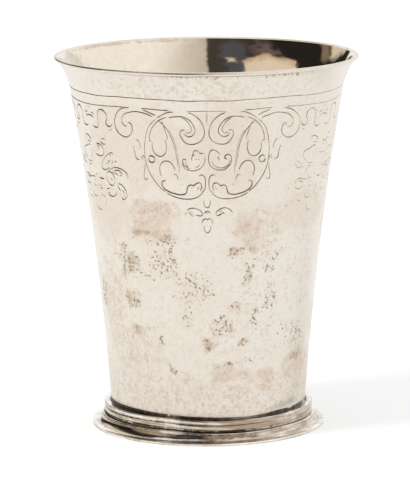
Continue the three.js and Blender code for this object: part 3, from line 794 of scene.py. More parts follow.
def worn_silver():
    """The wall: hazy silver outside, with stains, specks and dark cuts, and polished inside."""
    made, wires, shader = new_finish("worn_silver")
    inside = surface_value(wires, "inside")
    outside = wires.minus(1.0, inside)
    cut = surface_value(wires, "cut")
    ragged = effect(wires, SCATTER, patch_size=4.5, detail=8.0, shift=(0.0, 0.0, 0.0))
    grain = effect(wires, SCATTER, patch_size=1.0, detail=4.0, shift=(5.0, 31.0, 17.0))
    blotch = effect(wires, SCATTER, patch_size=2.0, detail=4.0, shift=(19.0, 2.0, 43.0))
    pitting = effect(wires, SCATTER, patch_size=0.85, detail=3.0, shift=(71.0, 3.0, 19.0))
    away = frayed(wires, SEEN_SIDE, 1.25, 1.0)

    def marked(marks, full, none, fray, cloud_size, cloud_level):
        """Marks where they are set, and in clouds of their own away from the seen side."""
        cloud = effect(wires, SCATTER, patch_size=cloud_size, detail=7.0, shift=(3.0, cloud_size, 5.0))
        clouded = wires.times(wires.ramp(cloud, cloud_level, cloud_level + 0.8), away)
        set_marks = frayed(wires, marks, full, none, (ragged, fray), (grain, 0.4 * fray))
        return wires.math("MAXIMUM", clouded, set_marks)

    # Beige haze, thicker in the dull areas and the stains, and a brown grain over the rougher areas
    dull = marked(DULL_AREAS, 0.9, 1.04, 0.17, 17.0, 0.2)
    stain = marked(BEIGE_STAINS, 0.75, 1.1, 0.2, 13.0, 1.3)
    # Painted light: thinner haze on the right side lightens it against the shadowed floor it mirrors
    painted_light_wall = frayed(wires, WALL_PAINTED_LIGHT, 0.4, 1.2)
    grainy = marked(GRAINY_AREAS, 0.6, 1.15, 0.25, 14.0, 0.0)
    rougher = wires.ramp(wires.math("MAXIMUM", grainy, stain), 0.0, 1.0, 0.25, 1.0)
    uneven = weighed(wires, wires.times(grain, 0.12), (blotch, 0.07), (ragged, 0.06))
    uneven = wires.times(uneven, rougher)
    crowd = marked(SPECK_CLUSTERS, 0.3, 1.85, 0.35, 10.0, 1.2)
    haze = weighed(wires, 0.08, (uneven, 1.0), (dull, 0.15), (stain, 0.24), (painted_light_wall, -0.2),
                   (crowd, 0.12))
    colour = wires.blend(haze, CLEAN_SILVER, BEIGE_TARNISH)
    fleck = weighed(wires, wires.times(grain, 0.75), (blotch, 0.65))
    fleck = wires.times(wires.ramp(fleck, -0.3, 2.4, 0.0, 0.28), rougher)
    colour = wires.blend(fleck, colour, GRAIN_BROWN)

    # Rusty patches, a grey smear by the solder, and brown specks that crowd together
    rust = marked(RUST_PATCHES, 0.2, 1.2, 0.3, 9.0, 2.0)
    rusty = wires.times(rust, weighed(wires, 0.43, (blotch, 0.14), (grain, 0.12)))
    colour = wires.blend(rusty, colour, RUST_TARNISH)
    smear = frayed(wires, GREY_SMEARS, 0.2, 1.3, (ragged, 0.15))
    colour = wires.blend(wires.times(smear, 0.6), colour, SMEAR_GREY)
    limit = weighed(wires, 2.4, (stain, -0.2), (rust, -0.9), (crowd, -2.0))
    over = wires.minus(pitting, wires.math("MAXIMUM", limit, 0.4))
    specks = wires.times(wires.ramp(over, 0.0, 1.0, 0.0, 0.86),
                         wires.ramp(crowd, 0.0, 1.0, 0.6, 1.0))
    colour = wires.blend(specks, colour, BROWN_TARNISH)

    # Polished inside, and tarnish left in the cuts, uneven where rubbing has reached it
    inner_stain = frayed(wires, INNER_STAINS, 0.4, 1.2, (ragged, 0.3))
    inner_haze = weighed(wires, 0.05, (blotch, 0.03), (inner_stain, 0.4))
    colour = wires.blend(inside, colour, wires.blend(inner_haze, INNER_SILVER, KHAKI_TARNISH))
    kept = effect(wires, SCATTER, patch_size=3.0, detail=3.0, shift=(13.0, 7.0, 3.0))
    fill = wires.times(wires.ramp(cut, 0.0, FULL_CUT_DEPTH),
                       wires.ramp(kept, -1.8, 1.5, 1.0, 0.5))
    faint = frayed(wires, FAINT_CUTS, 0.7, 1.0)
    fill = wires.times(fill, wires.ramp(faint, 0.0, 1.0, 1.0, 0.75))
    colour = wires.blend(fill, colour, CUT_TARNISH)
    wires.feed(shader.inputs["Base Color"], colour)

    rough = weighed(wires, 0.25, (dull, 0.08), (stain, 0.1), (specks, 0.1))
    rough = wires.math("MAXIMUM", rough, wires.times(fill, 0.55))
    rough = wires.times(rough, wires.math("MULTIPLY_ADD", inside, -0.8, 1.0))
    wires.feed(shader.inputs["Roughness"], rough)
    shader.inputs["Metallic"].default_value = 1.0
    lines = effect(wires, POLISH, line_size=0.35, stretch=12.0)
    hammering = effect(wires, SCATTER, patch_size=8.0, detail=1.0, shift=(0.0, 0.0, 0.0))
    height = weighed(wires, wires.times(hammering, 0.065), (wires.times(lines, outside), 0.008))
    dented(wires, shader, height, HAMMERING_DEPTH)
    return made


def foot_silver():
    """The collar, flange and base: rubbed bright on the crests, brown in the recesses, with painted
    light.
    """
    made, wires, shader = new_finish("polished_silver")
    recess = surface_value(wires, "recess")
    clouds = effect(wires, SCATTER, patch_size=7.0, detail=6.0, shift=(9.0, 2.0, 13.0))
    ragged = effect(wires, SCATTER, patch_size=1.6, detail=6.0, shift=(2.0, 8.0, 1.0))
    pitting = effect(wires, SCATTER, patch_size=0.85, detail=3.0, shift=(15.0, 1.0, 7.0))
    streaks = effect(wires, POLISH, line_size=0.45, stretch=16.0)
    # Painted light on the foot's right half, which thins the tarnish and grime in its hollows
    painted_light_foot = frayed(wires, FOOT_PAINTED_LIGHT, 0.6, 1.0)
    # Rubbed bright places: partly wear, partly painted highlight on the collar and bead
    rubbed_and_highlit = frayed(wires, FOOT_RUBBED_AND_HIGHLIT, 0.5, 1.2, (ragged, 0.15))
    crest = wires.math("MINIMUM", recess, 0.0)
    hollow = wires.math("MULTIPLY_ADD", wires.math("MAXIMUM", recess, 0.0),
                        wires.ramp(painted_light_foot, 0.0, 1.0, 1.0, 0.0), crest)
    # Painted highlight: a clean, rougher spot on the bead that gathers more light
    painted_highlight = frayed(wires, FOOT_PAINTED_HIGHLIGHT, 0.5, 1.2, (ragged, 0.15))
    browned = frayed(wires, FOOT_BROWNED, 0.5, 1.2, (ragged, 0.1))
    tarnish = weighed(wires, 0.68, (hollow, 0.5), (clouds, 0.1), (streaks, 0.15), (ragged, 0.05),
                      (browned, 0.18), (rubbed_and_highlit, -0.45), (painted_highlight, -0.7))
    colour = wires.blend(tarnish, FOOT_SILVER, KHAKI_TARNISH)
    marks = frayed(wires, FLANGE_MARKS, 0.3, 1.2, (ragged, 0.25))
    colour = wires.blend(wires.times(marks, 0.92), colour, BROWN_TARNISH)
    limit = weighed(wires, 2.3, (clouds, -0.3), (marks, -1.5))
    specks = wires.ramp(wires.minus(pitting, limit), 0.0, 1.0, 0.0, 0.7)
    colour = wires.blend(specks, colour, BROWN_TARNISH)

    # Grime in the recesses, less where rubbed, under painted highlights and on the painted-light right
    # half
    grime = weighed(wires, recess, (clouds, 0.12), (ragged, 0.12), (rubbed_and_highlit, -0.9), (painted_light_foot, -0.55))
    grime = wires.ramp(grime, 0.5, 1.05)
    colour = wires.blend(grime, colour, DARK_TARNISH)
    wires.feed(shader.inputs["Base Color"], colour)
    rough = weighed(wires, 0.16, (clouds, 0.02), (grime, 0.2), (painted_highlight, 0.3))
    wires.feed(shader.inputs["Roughness"], rough)
    shader.inputs["Metallic"].default_value = 1.0
    dented(wires, shader, streaks, STREAK_DEPTH)
    return made


def tarnished_solder():
    """Solder gone dark, with brighter flecks where it has been rubbed and where a highlight is
    painted.
    """
    made, wires, shader = new_finish("tarnished_solder")
    clumps = effect(wires, SCATTER, patch_size=2.0, detail=4.0, shift=(2.0, 19.0, 3.0))
    grains = effect(wires, SCATTER, patch_size=0.6, detail=2.0, shift=(0.0, 0.0, 0.0))
    # Rubbed places: partly wear, partly painted highlight
    rubbed_and_highlit = frayed(wires, SOLDER_RUBBED_AND_HIGHLIT, 0.5, 1.2, (clumps, 0.2))
    greyed = frayed(wires, SOLDER_GREYED, 0.4, 1.2, (clumps, 0.2))
    grey = weighed(wires, 0.1, (clumps, 0.1), (grains, 0.05), (greyed, 0.5), (rubbed_and_highlit, 0.7))
    colour = wires.blend(grey, DARK_TARNISH, SOLDER_GREY)
    # Painted light: the seam is lightened towards both sides of the foot
    painted_light_seam = wires.times(frayed(wires, SEAM_PAINTED_LIGHT, 0.6, 1.0), 0.8)
    colour = wires.blend(painted_light_seam, colour, FOOT_SILVER)
    flecks = wires.times(rubbed_and_highlit, wires.ramp(grains, 0.3, 1.3))
    colour = wires.blend(flecks, colour, FOOT_SILVER)
    wires.feed(shader.inputs["Base Color"], colour)
    wires.feed(shader.inputs["Roughness"], weighed(wires, 0.36, (rubbed_and_highlit, -0.14)))
    shader.inputs["Metallic"].default_value = 1.0
    dented(wires, shader, grains, SOLDER_GRAIN_DEPTH)
    return made


WORN_SILVER = worn_silver()
FOOT_FINISH = foot_silver()
SOLDER_FINISH = tarnished_solder()
TURN_PROFILE = turning_tree()
WRAP_ENGRAVING = wrapping_tree()


# Profiles, as radius, height, recess and inside values
def profile_mesh(name, points):
    """Points of (radius, z, recess, inside), up the outside and down the inside."""
    rows = np.array(points, float)
    mesh = bpy.data.meshes.new(name)
    mesh.from_pydata([(r, 0, z) for r, z in rows[:, :2]], [], [])
    for column, key in ((2, "recess"), (3, "inside")):
        values = mesh.attributes.new(key, "FLOAT", "POINT")
        values.data.foreach_set("value", rows[:, column])
    return mesh


def turned(name, points, finish):
    """Plain mesh of a profile turned about the axis. A profile off the axis is closed on itself."""
    closed = points if points[0][0] == 0 else [*points, points[0]]
    return grown(name, profile_mesh(name, closed), TURN_PROFILE, {
        "Segments": TURN_STEPS, "Sharp Angle": SHARP_CORNER, "Weld": WELD, "Finish": finish})


def arc(centre, radius_r, radius_z, from_degrees, to_degrees, recess=lambda share: 0.0,
        squareness=2.0):
    """Points on an ellipse, or a squarer oval, between two angles. Recess is a rule over the share."""
    def squared(value):
        return math.copysign(abs(value) ** (2 / squareness), value)

    points = []
    for share in np.linspace(0, 1, ROUND_STEPS + 1):
        angle = math.radians(from_degrees + (to_degrees - from_degrees) * share)
        points.append((centre[0] + radius_r * squared(math.cos(angle)),
                       centre[1] + radius_z * squared(math.sin(angle)), recess(share), 0.0))
    return points


# The engraved wall
def smooth_path(points):
    """Evenly stepped curve through given points. It crosses a mirror line at a right angle."""
    hand = np.array(points, float) * (PLANE_MM_PER_DEGREE, 1)
    edge = HALF_MOTIF_DEGREES * PLANE_MM_PER_DEGREE

    def beyond(end, neighbour):
        if end[0] in (0, edge):
            return np.array((2 * end[0] - neighbour[0], neighbour[1]))
        return 2 * end - neighbour

    padded = np.vstack([beyond(hand[0], hand[1]), hand, beyond(hand[-1], hand[-2])])
    path = [hand[0]]
    for before, start, end, after in zip(padded, padded[1:], padded[2:], padded[3:]):
        steps = max(1, round(np.linalg.norm(end - start) / STROKE_STEP_MM))
        for t in np.arange(1, steps + 1) / steps:
            path.append(0.5 * (2 * start + (end - before) * t
                               + (2 * before - 5 * start + 4 * end - after) * t ** 2
                               + (3 * start - before - 3 * end + after) * t ** 3))
    path[-1] = hand[-1]
    return np.array(path)


def stroke_half_widths(path, width):
    """Half the width along a stroke, which thins to a point unless it runs over a mirror line."""
    edge = HALF_MOTIF_DEGREES * PLANE_MM_PER_DEGREE
    run = np.concatenate([[0], np.cumsum(np.linalg.norm(np.diff(path, axis=0), axis=1))])
    taper = np.ones(len(path))
    reach = min(STROKE_TAPER_MM, run[-1] * LONGEST_TAPER_SHARE)
    if path[0][0] not in (0, edge):
        taper *= np.clip(run / reach, 0, 1) ** 0.5
    if path[-1][0] not in (0, edge):
        taper *= np.clip((run[-1] - run) / reach, 0, 1) ** 0.5
    return 0.5 * width * taper


def groove_depths(points, strokes):
    """Depth in mm of the deepest V-shaped cut at each point."""
    depth = np.zeros(len(points))
    for path, half in strokes:
        start, run = path[:-1], np.diff(path, axis=0)
        offset = points[:, None, :] - start[None]
        share = np.clip((offset * run).sum(2) / (run * run).sum(1), 0, 1)
        off = np.linalg.norm(offset - share[..., None] * run, axis=2)
        width = half[:-1] + share * np.diff(half)
        depth = np.maximum(depth, GRAVER_SLOPE * (width - off).max(axis=1))
    return depth


def half_motif(engraving):
    """One side of the flat motif: its corners and faces, and the depth of the cut at each corner."""
    edge = HALF_MOTIF_DEGREES * PLANE_MM_PER_DEGREE
    low, high = BAND_LOW / MM, BAND_HIGH / MM
    strokes = []
    for width, hand_points in engraving:
        path = smooth_path(hand_points)
        strokes.append((path, stroke_half_widths(path, width)))

    corners = []
    edges = []

    def chain(points):
        first = len(corners)
        corners.extend(points)
        edges.extend((i, i + 1) for i in range(first, len(corners) - 1))

    columns = np.arange(HALF_MOTIF_DEGREES + 1) * PLANE_MM_PER_DEGREE
    rows = np.linspace(low, high, EDGE_ROWS)
    for z in (low, high):
        chain([(x, z) for x in columns])
    for x in (0, edge):
        chain([(x, z) for z in rows])
    for path, half in strokes:
        along = np.gradient(path, axis=0)
        along[0], along[-1] = path[1] - path[0], path[-1] - path[-2]
        for i in (0, -1):
            if path[i][0] in (0, edge):
                along[i][1] = 0
        square = np.stack([-along[:, 1], along[:, 0]], axis=1)
        square /= np.linalg.norm(square, axis=1)[:, None]
        for side in (-1, 0, 1):
            line = path + side * half[:, None] * square
            chain([(min(max(x, 0), edge), z) for x, z in line])
    cut_points = np.vstack([path for path, _ in strokes])
    for x in np.arange(GROUND_START, edge - GROUND_END, GROUND_STEP):
        for z in np.arange(low + GROUND_START, high - GROUND_END, GROUND_STEP):
            if np.linalg.norm(cut_points - (x, z), axis=1).min() > GROUND_CLEARANCE:
                corners.append((x, z))

    flat = delaunay_2d_cdt([Vector(p) for p in corners], edges, [], 0, SAME_POINT)
    places = np.array(flat[0])
    return places, flat[2], groove_depths(places, strokes)


def motif_mesh():
    """The whole flat motif, with its left side turned over: angle along X and height along Z."""
    right, right_faces, right_cuts = half_motif(RIGHT_SIDE)
    left, left_faces, left_cuts = half_motif(LEFT_SIDE)
    places = np.vstack([right, left * (-1, 1)])
    faces = [list(face) for face in right_faces]
    faces += [[len(right) + i for i in reversed(face)] for face in left_faces]
    z = places[:, 1] * MM
    angles = np.radians(places[:, 0] / PLANE_MM_PER_DEGREE)
    mesh = bpy.data.meshes.new("motif")
    mesh.from_pydata([(a, 0, h) for a, h in zip(angles, z)], [], faces)
    for key, values in (("cut", np.concatenate([right_cuts, left_cuts]) * MM),
                        ("wall_radius", wall_radius(z)), ("wall_slope", wall_slope(z))):
        mesh.attributes.new(key, "FLOAT", "POINT").data.foreach_set("value", values)
    return mesh


def plain_wall_profile():
    """The rest of the wall: up over the rim, down the inside and back up to the engraved band."""
    bead = (MOUTH_RADIUS - RIM_BEAD_RADIUS, HEIGHT - RIM_BEAD_RADIUS)
    lip_top_outside = HEIGHT - 2.4 * RIM_BEAD_RADIUS
    lip_top_inside = HEIGHT - 0.7 * RIM_BEAD_RADIUS
    lip_heights = np.linspace(BAND_HIGH, lip_top_outside, LIP_STEPS)
    inner_heights = [*np.linspace(lip_top_inside, NECK_Z, INNER_LIP_STEPS),
                     *np.linspace(NECK_Z, WALL_FOOT_Z, INNER_WALL_STEPS)[1:]]
    outer_heights = np.linspace(WALL_FOOT_Z, BAND_LOW, OUTER_WALL_STEPS)
    lip = [(wall_radius(z), z, 0, 0) for z in lip_heights]
    rim = arc(bead, RIM_BEAD_RADIUS, RIM_BEAD_RADIUS, -60, 120)
    inner = [(wall_inner_radius(z), z, 0, 1) for z in inner_heights]
    outer = [(wall_radius(z), z, 0, 0) for z in outer_heights]
    return lip + rim + inner + outer


def joined(name, meshes, weld, sharp_angle):
    """One closed mesh of several, keeping the values that the finish reads."""
    keys = ("cut", "inside", "recess")
    corners, faces, values = [], [], {key: [] for key in keys}
    for mesh in meshes:
        first = len(corners)
        corners.extend(v.co[:] for v in mesh.vertices)
        faces.extend([first + i for i in face.vertices] for face in mesh.polygons)
        for key in keys:
            found = np.zeros(len(mesh.vertices), np.float32)
            if key in mesh.attributes:
                mesh.attributes[key].data.foreach_get("value", found)
            values[key].extend(found)
    whole = bpy.data.meshes.new(name)
    whole.from_pydata(corners, [], faces)
    for key in keys:
        whole.attributes.new(key, "FLOAT", "POINT").data.foreach_set("value", values[key])
    work = bmesh.new()
    work.from_mesh(whole)
    bmesh.ops.remove_doubles(work, verts=work.verts, dist=weld)
    bmesh.ops.dissolve_degenerate(work, dist=SLIVER, edges=work.edges)
    work.to_mesh(whole)
    work.free()
    whole.shade_smooth()
    whole.set_sharp_from_angle(angle=sharp_angle)
    return whole


def engraved_wall():
    band = grown("engraved_band", motif_mesh(), WRAP_ENGRAVING, {
        "Motifs": MOTIFS, "Waver Angle": WAVER_ANGLE, "Waver Height": WAVER_HEIGHT,
        "Waver Size": WAVER_SIZE, "Band Low": BAND_LOW, "Band High": BAND_HIGH,
        "Sharp Angle": SHARP_CUT, "Weld": WELD, "Finish": WORN_SILVER})
    rest = grown("plain_wall", profile_mesh("plain_wall", plain_wall_profile()), TURN_PROFILE, {
        "Segments": TURN_STEPS, "Sharp Angle": SHARP_CORNER, "Weld": WELD, "Finish": WORN_SILVER})
    wall = joined("engraved_wall", [band, rest], 2 * WELD, SHARP_CUT)
    wall.materials.append(WORN_SILVER)
    return wall


# The base, the foot and the solder

# Hand work left the solder and the mouldings uneven. At angles round the foot, SOLDER_RUN has the
# solder's height and spread, 1 being the solid's own, and FOOT_LIFT has the mouldings' lift in mm.
SOLDER_RUN = [
    (-180, 1.0, 0.6), (-100, 1.0, 0.6), (-75, 1.2, 0.4), (-58, 1.2, 0.4), (-42, 1.05, 0.4),
    (-22, 0.75, 0.4), (-14, 0.65, 0.4), (-6, 0.9, 0.5), (10, 0.85, 0.6), (22, 0.6, 0.6),
    (35, 0.7, 0.4), (45, 1.1, 0.4), (52, 1.0, 0.4), (56, 0.5, 0.3), (60, 1.0, 0.4), (70, 1.2, 0.5),
    (90, 1.0, 0.6), (180, 1.0, 0.6)]
FOOT_LIFT = [
    (-180, 0), (-110, 0.1), (-75, 0.5), (-45, 0.7), (-20, 0.65), (-8, 0.3), (5, 0.05), (20, 0.05),
    (40, 0.25), (60, 0.25), (90, 0.1), (180, 0)]
LAND_STEP = 0.1 * MM


def round_the_foot(points, x, y):
    """Values at an angle round the foot, 0 being towards the viewer."""
    angles, *columns = zip(*points)
    degrees = math.degrees(math.atan2(x, -y))
    return [np.interp(degrees, angles, column) for column in columns]


def hand_set(mesh, fixed_radius=0.0):
    """Lifts a moulding of the foot by its uneven amount, up along the wall, outside a fixed radius."""
    for corner in mesh.vertices:
        x, y, z = corner.co
        radius = math.hypot(x, y)
        height_share = (z - FLANGE_EDGE_HEIGHT) / (FLANGE_HEIGHT - FLANGE_EDGE_HEIGHT)
        if radius > fixed_radius:
            lift = round_the_foot(FOOT_LIFT, x, y)[0] * MM * min(max(height_share, 0), 1)
            spread = 1 + wall_slope(z) * lift / radius
            corner.co = (x * spread, y * spread, z + lift)
    return mesh


def base_disc_mesh():
    low, high = disc_low.z, disc_high.z
    under = wall_inner_radius(low) - JOINT_GAP
    upper = wall_inner_radius(high) - JOINT_GAP
    rings = np.linspace(0, 1, DISC_RINGS)
    bottom = [(under * s, low, 0.6, 0) for s in rings]
    top = [(upper * s, high, 0.75 * s ** 6, 1) for s in rings[::-1]]
    return turned("base_disc_plate", bottom + top, FOOT_FINISH)


def collar_mesh():
    """Two flat-faced reeds, with a shallow groove between them, over a plain neck."""
    lower_z = WALL_FOOT_Z + COLLAR_NECK_HEIGHT
    upper_z = lower_z + LOWER_REED_HEIGHT
    upper_height = collar_high.z - upper_z
    groove_share = 1 - REED_GROOVE_DEPTH / REED_DEPTH
    groove = math.degrees(math.acos(groove_share ** (REED_SQUARENESS / 2)))

    def reed(z, height, from_degrees, to_degrees, recess=lambda share: 0.0):
        return arc((COLLAR_NECK_RADIUS, z + height / 2), REED_DEPTH, height / 2,
                   from_degrees, to_degrees, recess, REED_SQUARENESS)

    outside = [(COLLAR_NECK_RADIUS, WALL_FOOT_Z, 1, 0)]
    outside += reed(lower_z, LOWER_REED_HEIGHT, -90, 0, lambda share: max((1 - share) ** 2, 0.3))
    outside += reed(lower_z, LOWER_REED_HEIGHT, 0, groove, lambda share: max(share ** 4, 0.3))[1:]
    outside += reed(upper_z, upper_height, -groove, 0, lambda share: max((1 - share) ** 4, 0.2))
    outside += reed(upper_z, upper_height, 0, 90, lambda share: 0.2 - 1.2 * share ** 2)[1:]
    bore = [(wall_radius(collar_high.z) + JOINT_GAP, collar_high.z, 0, 0),
            (wall_radius(WALL_FOOT_Z) + JOINT_GAP, WALL_FOOT_Z, 1, 0)]
    return hand_set(turned("reeded_collar_ring", outside + bore, FOOT_FINISH))


def flange_mesh():
    bore = wall_inner_radius(WALL_FOOT_Z) - FLANGE_LEDGE
    land = COLLAR_RADIUS + LAND_MARGIN
    underside = FLANGE_HEIGHT - FLANGE_THICKNESS
    slope_top = FLANGE_HEIGHT - FLANGE_BEAD_RADIUS
    slope_start = land + FLANGE_BEAD_RADIUS
    slope_end = FLANGE_RADIUS - FLANGE_RIM_WIDTH
    points = [
        (bore, underside, 0.8, 0), (land - FLANGE_THICKNESS, underside, 0.8, 0),
        (FLANGE_RADIUS - TREAD_WIDTH, 0, 0.4, 0), (FLANGE_RADIUS, 0, 0, 0)]
    points += arc((FLANGE_RADIUS - EDGE_ROUND, FLANGE_EDGE_HEIGHT - EDGE_ROUND),
                  EDGE_ROUND, EDGE_ROUND, 0, 90, lambda share: -1.0)
    points += arc((slope_end, slope_top), slope_end - slope_start, slope_top - FLANGE_EDGE_HEIGHT,
                  270, 180, lambda share: share ** 6 - (1 - share) ** 3)
    points += arc((land, slope_top), FLANGE_BEAD_RADIUS, FLANGE_BEAD_RADIUS, 0, 90,
                  lambda share: (1 - share) ** 4 - share)[1:]
    points += [(land - LAND_STEP, FLANGE_HEIGHT, 0.7, 0), (COLLAR_NECK_RADIUS, FLANGE_HEIGHT, 1, 0),
               (WALL_FOOT_RADIUS, FLANGE_HEIGHT, 1, 0), (bore, FLANGE_HEIGHT, 1, 0)]
    return hand_set(turned("foot_flange_ring", points, FOOT_FINISH), UNDER_COLLAR_RADIUS)


def collar_fillet_mesh():
    """Solder that ran unevenly between the collar and the wall."""
    low, high = collar_fillet_low.z, collar_fillet_high.z
    leg = high - low
    inner = wall_radius(low) + JOINT_GAP
    centre = (inner + leg, high)
    reach = centre[0] - (wall_radius(high) + JOINT_GAP)
    ring = turned("collar_solder_ring", [(inner, low, 1, 0)] + arc(centre, reach, leg, 270, 180),
                  SOLDER_FINISH)
    for corner in ring.vertices:
        x, y, z = corner.co
        height, spread = round_the_foot(SOLDER_RUN, x, y)
        radius = math.hypot(x, y)
        off_wall = (radius - wall_radius(z) - JOINT_GAP) * spread
        z = low + (z - low) * height
        scale = (wall_radius(z) + JOINT_GAP + off_wall) / radius
        corner.co = (x * scale, y * scale, z)
    return hand_set(ring)


def base_fillet_mesh():
    low, high = base_fillet_low.z, base_fillet_high.z
    leg = high - low
    outer = wall_inner_radius(high) - JOINT_GAP
    centre = (outer - leg, low)
    reach = wall_inner_radius(low) - JOINT_GAP - centre[0]
    return turned("base_solder_ring", [(outer, high, 1, 0)] + arc(centre, reach, leg, 90, 0),
                  SOLDER_FINISH)


def seam_mesh():
    inner = wall_inner_radius(WALL_FOOT_Z)
    low, high = seam_low.z, seam_high.z
    middle = (COLLAR_NECK_RADIUS - 0.5 * (high - low), 0.5 * (low + high))
    swell = arc(middle, 0.5 * (high - low), 0.5 * (high - low), -90, 90)
    sheet = [(WALL_FOOT_RADIUS, high, 1, 0), (inner, high, 1, 0), (inner, low, 1, 0),
             (WALL_FOOT_RADIUS, low, 1, 0)]
    return hand_set(turned("flange_solder_ring", swell + sheet, SOLDER_FINISH), UNDER_COLLAR_RADIUS)


def place_piece(mesh, node):
    """Shows a mesh in place of a solid of the frame."""
    piece = bpy.data.objects.new(mesh.name, mesh)
    bpy.context.collection.objects.link(piece)
    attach(piece, "root")
    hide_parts(node)


place_piece(engraved_wall(), "cup_wall")
place_piece(base_disc_mesh(), "base_disc")
place_piece(base_fillet_mesh(), "base_solder_fillet")
place_piece(collar_mesh(), "reeded_collar")
place_piece(collar_fillet_mesh(), "collar_solder_fillet")
place_piece(seam_mesh(), "flange_solder_seam")
place_piece(flange_mesh(), "foot_flange")


# Floor, light and camera
FLOOR_HALF = 6.0
FLOOR_GLOW = 0.6
FLOOR_PAPER = (0.9, 0.9, 0.9, 1)
KEY_PLACE = Vector((-2.3, -1.1, 1.7))
KEY_AIM = Vector((0, 0, 0.05))
KEY_SIZE = 0.7
KEY_WATTS = 60.0
ROOM_WHITE = (1.0, 1.0, 1.0, 1)
ROOM_GREY = (0.62, 0.57, 0.52, 1)
ROOM_DIM = (0.06, 0.052, 0.046, 1)
ROOM_DARK = (0.018, 0.016, 0.015, 1)
ROOM_BLUE = (0.085, 0.088, 0.11, 1)
ROOM_BROWN = (0.15, 0.115, 0.11, 1)
ROOM_TAN = (0.62, 0.48, 0.34, 1)
ROOM_WARM = (0.80, 0.705, 0.585, 1)
ROOM_UNEVENNESS = 7.0
CAMERA_PLACE = Vector((-0.00067, -0.95257, 0.21987))
CAMERA_PITCH = 0.1761
CAMERA_ROLL = -0.0062
CAMERA_LENS = 250.34
SENSOR_HEIGHT = 36.0
CLIP_NEAR = 0.05
CLIP_FAR = 30

# Areas of the room that mirrors see

# Each area is from and to azimuth, low and high elevation, how soft its edge is and how far the edge
# wanders, all in degrees. The warm lit wall ends in a gable.
UNLIT_SIDE = (-160.0, -1.0, -20.0, 60.0, 1.5, 6.0)
UNLIT_ABOVE = (-70.0, -1.0, -20.0, 72.0, 1.5, 6.0)
BLUE_SHADE = (-42.0, -17.0, -20.0, 60.0, 5.0, 30.0)
BROWN_SHADE = (-70.0, -50.0, 34.0, 56.0, 7.0, 40.0)
LIT_WALL = (-88.0, -34.0, -20.0, 45.0, 2.0, 16.0)
LIT_POST = (-130.0, -121.0, 17.0, 40.0, 2.5, 8.0)
LIT_CORNER = (-170.0, -132.0, 16.0, 80.0, 3.0, 16.0)
LIT_PANE = (-27.0, -19.0, 27.0, 33.0, 2.5, 10.0)
GABLE_AZIMUTH = -56.0
GABLE_TOP = 39.0
GABLE_PITCH = 0.47
GABLE_SOFT = 3.0
GABLE_WANDER = 14.0
TAN_UNDER_GABLE = 12.0
DARK_AZIMUTH = -90.0
DIM_AZIMUTH = -15.0
DIM_WANDER = 90.0
WHITE_AZIMUTH = 58.0
POST_SHARE = 0.35
CORNER_SHARE = 0.9


def sees_background(wires):
    """1 for rays that look at the background: straight, in a mirror or through glass."""
    path = wires.node("ShaderNodeLightPath")
    seen = wires.plus(path.outputs["Is Camera Ray"], path.outputs["Is Glossy Ray"])
    return wires.math("MINIMUM", wires.plus(seen, path.outputs["Is Transmission Ray"]), 1.0)


def lay_floor():
    mesh = bpy.data.meshes.new("floor")
    half = FLOOR_HALF
    mesh.from_pydata([(-half, -half, 0), (half, -half, 0), (half, half, 0), (-half, half, 0)], [],
                     [(0, 1, 2, 3)])
    made = bpy.data.materials.new("white_floor")
    made.use_nodes = True
    made.node_tree.nodes.clear()
    wires = Wires(made.node_tree)
    paper = wires.node("ShaderNodeBsdfDiffuse", {"Color": FLOOR_PAPER})
    glow = wires.node("ShaderNodeEmission", {"Color": ROOM_WHITE, "Strength": 1.0})
    share = wires.times(sees_background(wires), FLOOR_GLOW)
    mixed = wires.node("ShaderNodeMixShader", {0: share, 1: paper.outputs[0], 2: glow.outputs[0]})
    output = wires.node("ShaderNodeOutputMaterial")
    wires.feed(output.inputs["Surface"], mixed.outputs[0])
    mesh.materials.append(made)
    floor = bpy.data.objects.new("floor", mesh)
    bpy.context.collection.objects.link(floor)


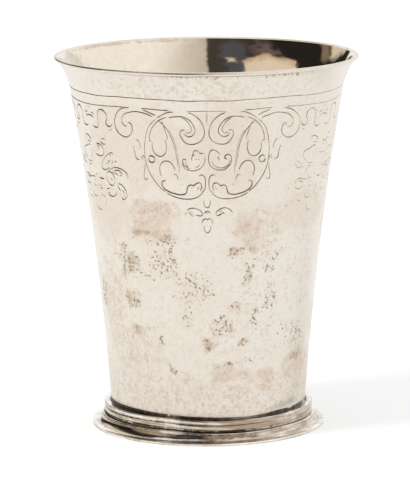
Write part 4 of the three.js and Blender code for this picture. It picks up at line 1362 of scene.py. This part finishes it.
def light_room():
    """White room. Mirrors also see its unlit side, left of the camera, with a warm lit wall there."""
    world = bpy.data.worlds.new("studio")
    world.use_nodes = True
    world.node_tree.nodes.clear()
    wires = Wires(world.node_tree)
    way = wires.node("ShaderNodeTexCoord").outputs["Generated"]
    split = wires.node("ShaderNodeSeparateXYZ", {"Vector": way})
    azimuth = wires.math("DEGREES", wires.math(
        "ARCTAN2", split.outputs["X"], wires.times(split.outputs["Y"], -1.0)))
    elevation = wires.math("DEGREES", wires.math("ARCSINE", split.outputs["Z"]))
    uneven = wires.minus(wires.noise(way, ROOM_UNEVENNESS), 0.5)

    def between(value, low, high, soft, wobble):
        moved = wires.math("MULTIPLY_ADD", uneven, wobble, value)
        return wires.times(wires.ramp(moved, low - soft, low + soft),
                           wires.ramp(moved, high - soft, high + soft, 1.0, 0.0))

    def area(from_azimuth, to_azimuth, low, high, soft, wobble):
        return wires.times(between(azimuth, from_azimuth, to_azimuth, soft, wobble),
                           between(elevation, low, high, soft, wobble))

    unlit = wires.math("MAXIMUM", area(*UNLIT_SIDE), area(*UNLIT_ABOVE))
    dimness = wires.math("MULTIPLY_ADD", uneven, DIM_WANDER, azimuth)
    shade = wires.blend(wires.ramp(dimness, DARK_AZIMUTH, DIM_AZIMUTH), ROOM_DARK, ROOM_DIM)
    shade = wires.blend(area(*BLUE_SHADE), shade, ROOM_BLUE)
    shade = wires.blend(area(*BROWN_SHADE), shade, ROOM_BROWN)
    aside = wires.math("ABSOLUTE", wires.minus(azimuth, GABLE_AZIMUTH))
    gable = wires.math("MULTIPLY_ADD", aside, -GABLE_PITCH, GABLE_TOP)
    roof = wires.minus(gable, elevation)
    roof = wires.math("MULTIPLY_ADD", uneven, GABLE_WANDER, roof)
    lit_wall = wires.times(area(*LIT_WALL), wires.ramp(roof, -GABLE_SOFT, GABLE_SOFT))
    warm = wires.blend(wires.ramp(roof, 0.0, TAN_UNDER_GABLE), ROOM_TAN, ROOM_WARM)
    shade = wires.blend(lit_wall, shade, warm)
    post = wires.times(area(*LIT_POST), POST_SHARE)
    shade = wires.blend(post, shade, ROOM_TAN)
    lit_corner = wires.math("MAXIMUM", area(*LIT_CORNER), area(*LIT_PANE))
    shade = wires.blend(wires.times(lit_corner, CORNER_SHARE), shade, ROOM_WARM)
    in_mirror = wires.node("ShaderNodeLightPath").outputs["Is Glossy Ray"]
    fading = wires.ramp(wires.math("ABSOLUTE", azimuth), 0.0, WHITE_AZIMUTH)
    seen = wires.blend(unlit, wires.blend(fading, ROOM_GREY, ROOM_WHITE), shade)
    room = wires.node("ShaderNodeBackground", {
        "Color": wires.blend(in_mirror, ROOM_WHITE, seen), "Strength": 1.0})
    output = wires.node("ShaderNodeOutputWorld")
    wires.feed(output.inputs["Surface"], room.outputs[0])
    bpy.context.scene.world = world

    lamp = bpy.data.lights.new("key", "AREA")
    lamp.energy = KEY_WATTS
    lamp.size = KEY_SIZE
    key = bpy.data.objects.new("key", lamp)
    key.location = KEY_PLACE
    key.visible_glossy = False
    key.rotation_mode = "QUATERNION"
    key.rotation_quaternion = (KEY_AIM - KEY_PLACE).to_track_quat("-Z", "Y")
    bpy.context.collection.objects.link(key)


def set_camera():
    lens = bpy.data.cameras.new("camera")
    lens.sensor_fit = "VERTICAL"
    lens.sensor_height = SENSOR_HEIGHT
    lens.lens = CAMERA_LENS
    lens.clip_start = CLIP_NEAR
    lens.clip_end = CLIP_FAR
    camera = bpy.data.objects.new("camera", lens)
    camera.matrix_world = (
        Matrix.Translation(CAMERA_PLACE) @ Matrix.Rotation(math.pi / 2 - CAMERA_PITCH, 4, "X")
        @ Matrix.Rotation(CAMERA_ROLL, 4, "Z"))
    bpy.context.collection.objects.link(camera)
    bpy.context.scene.camera = camera


lay_floor()
light_room()
set_camera()
bpy.context.scene.view_settings.view_transform = "Standard"
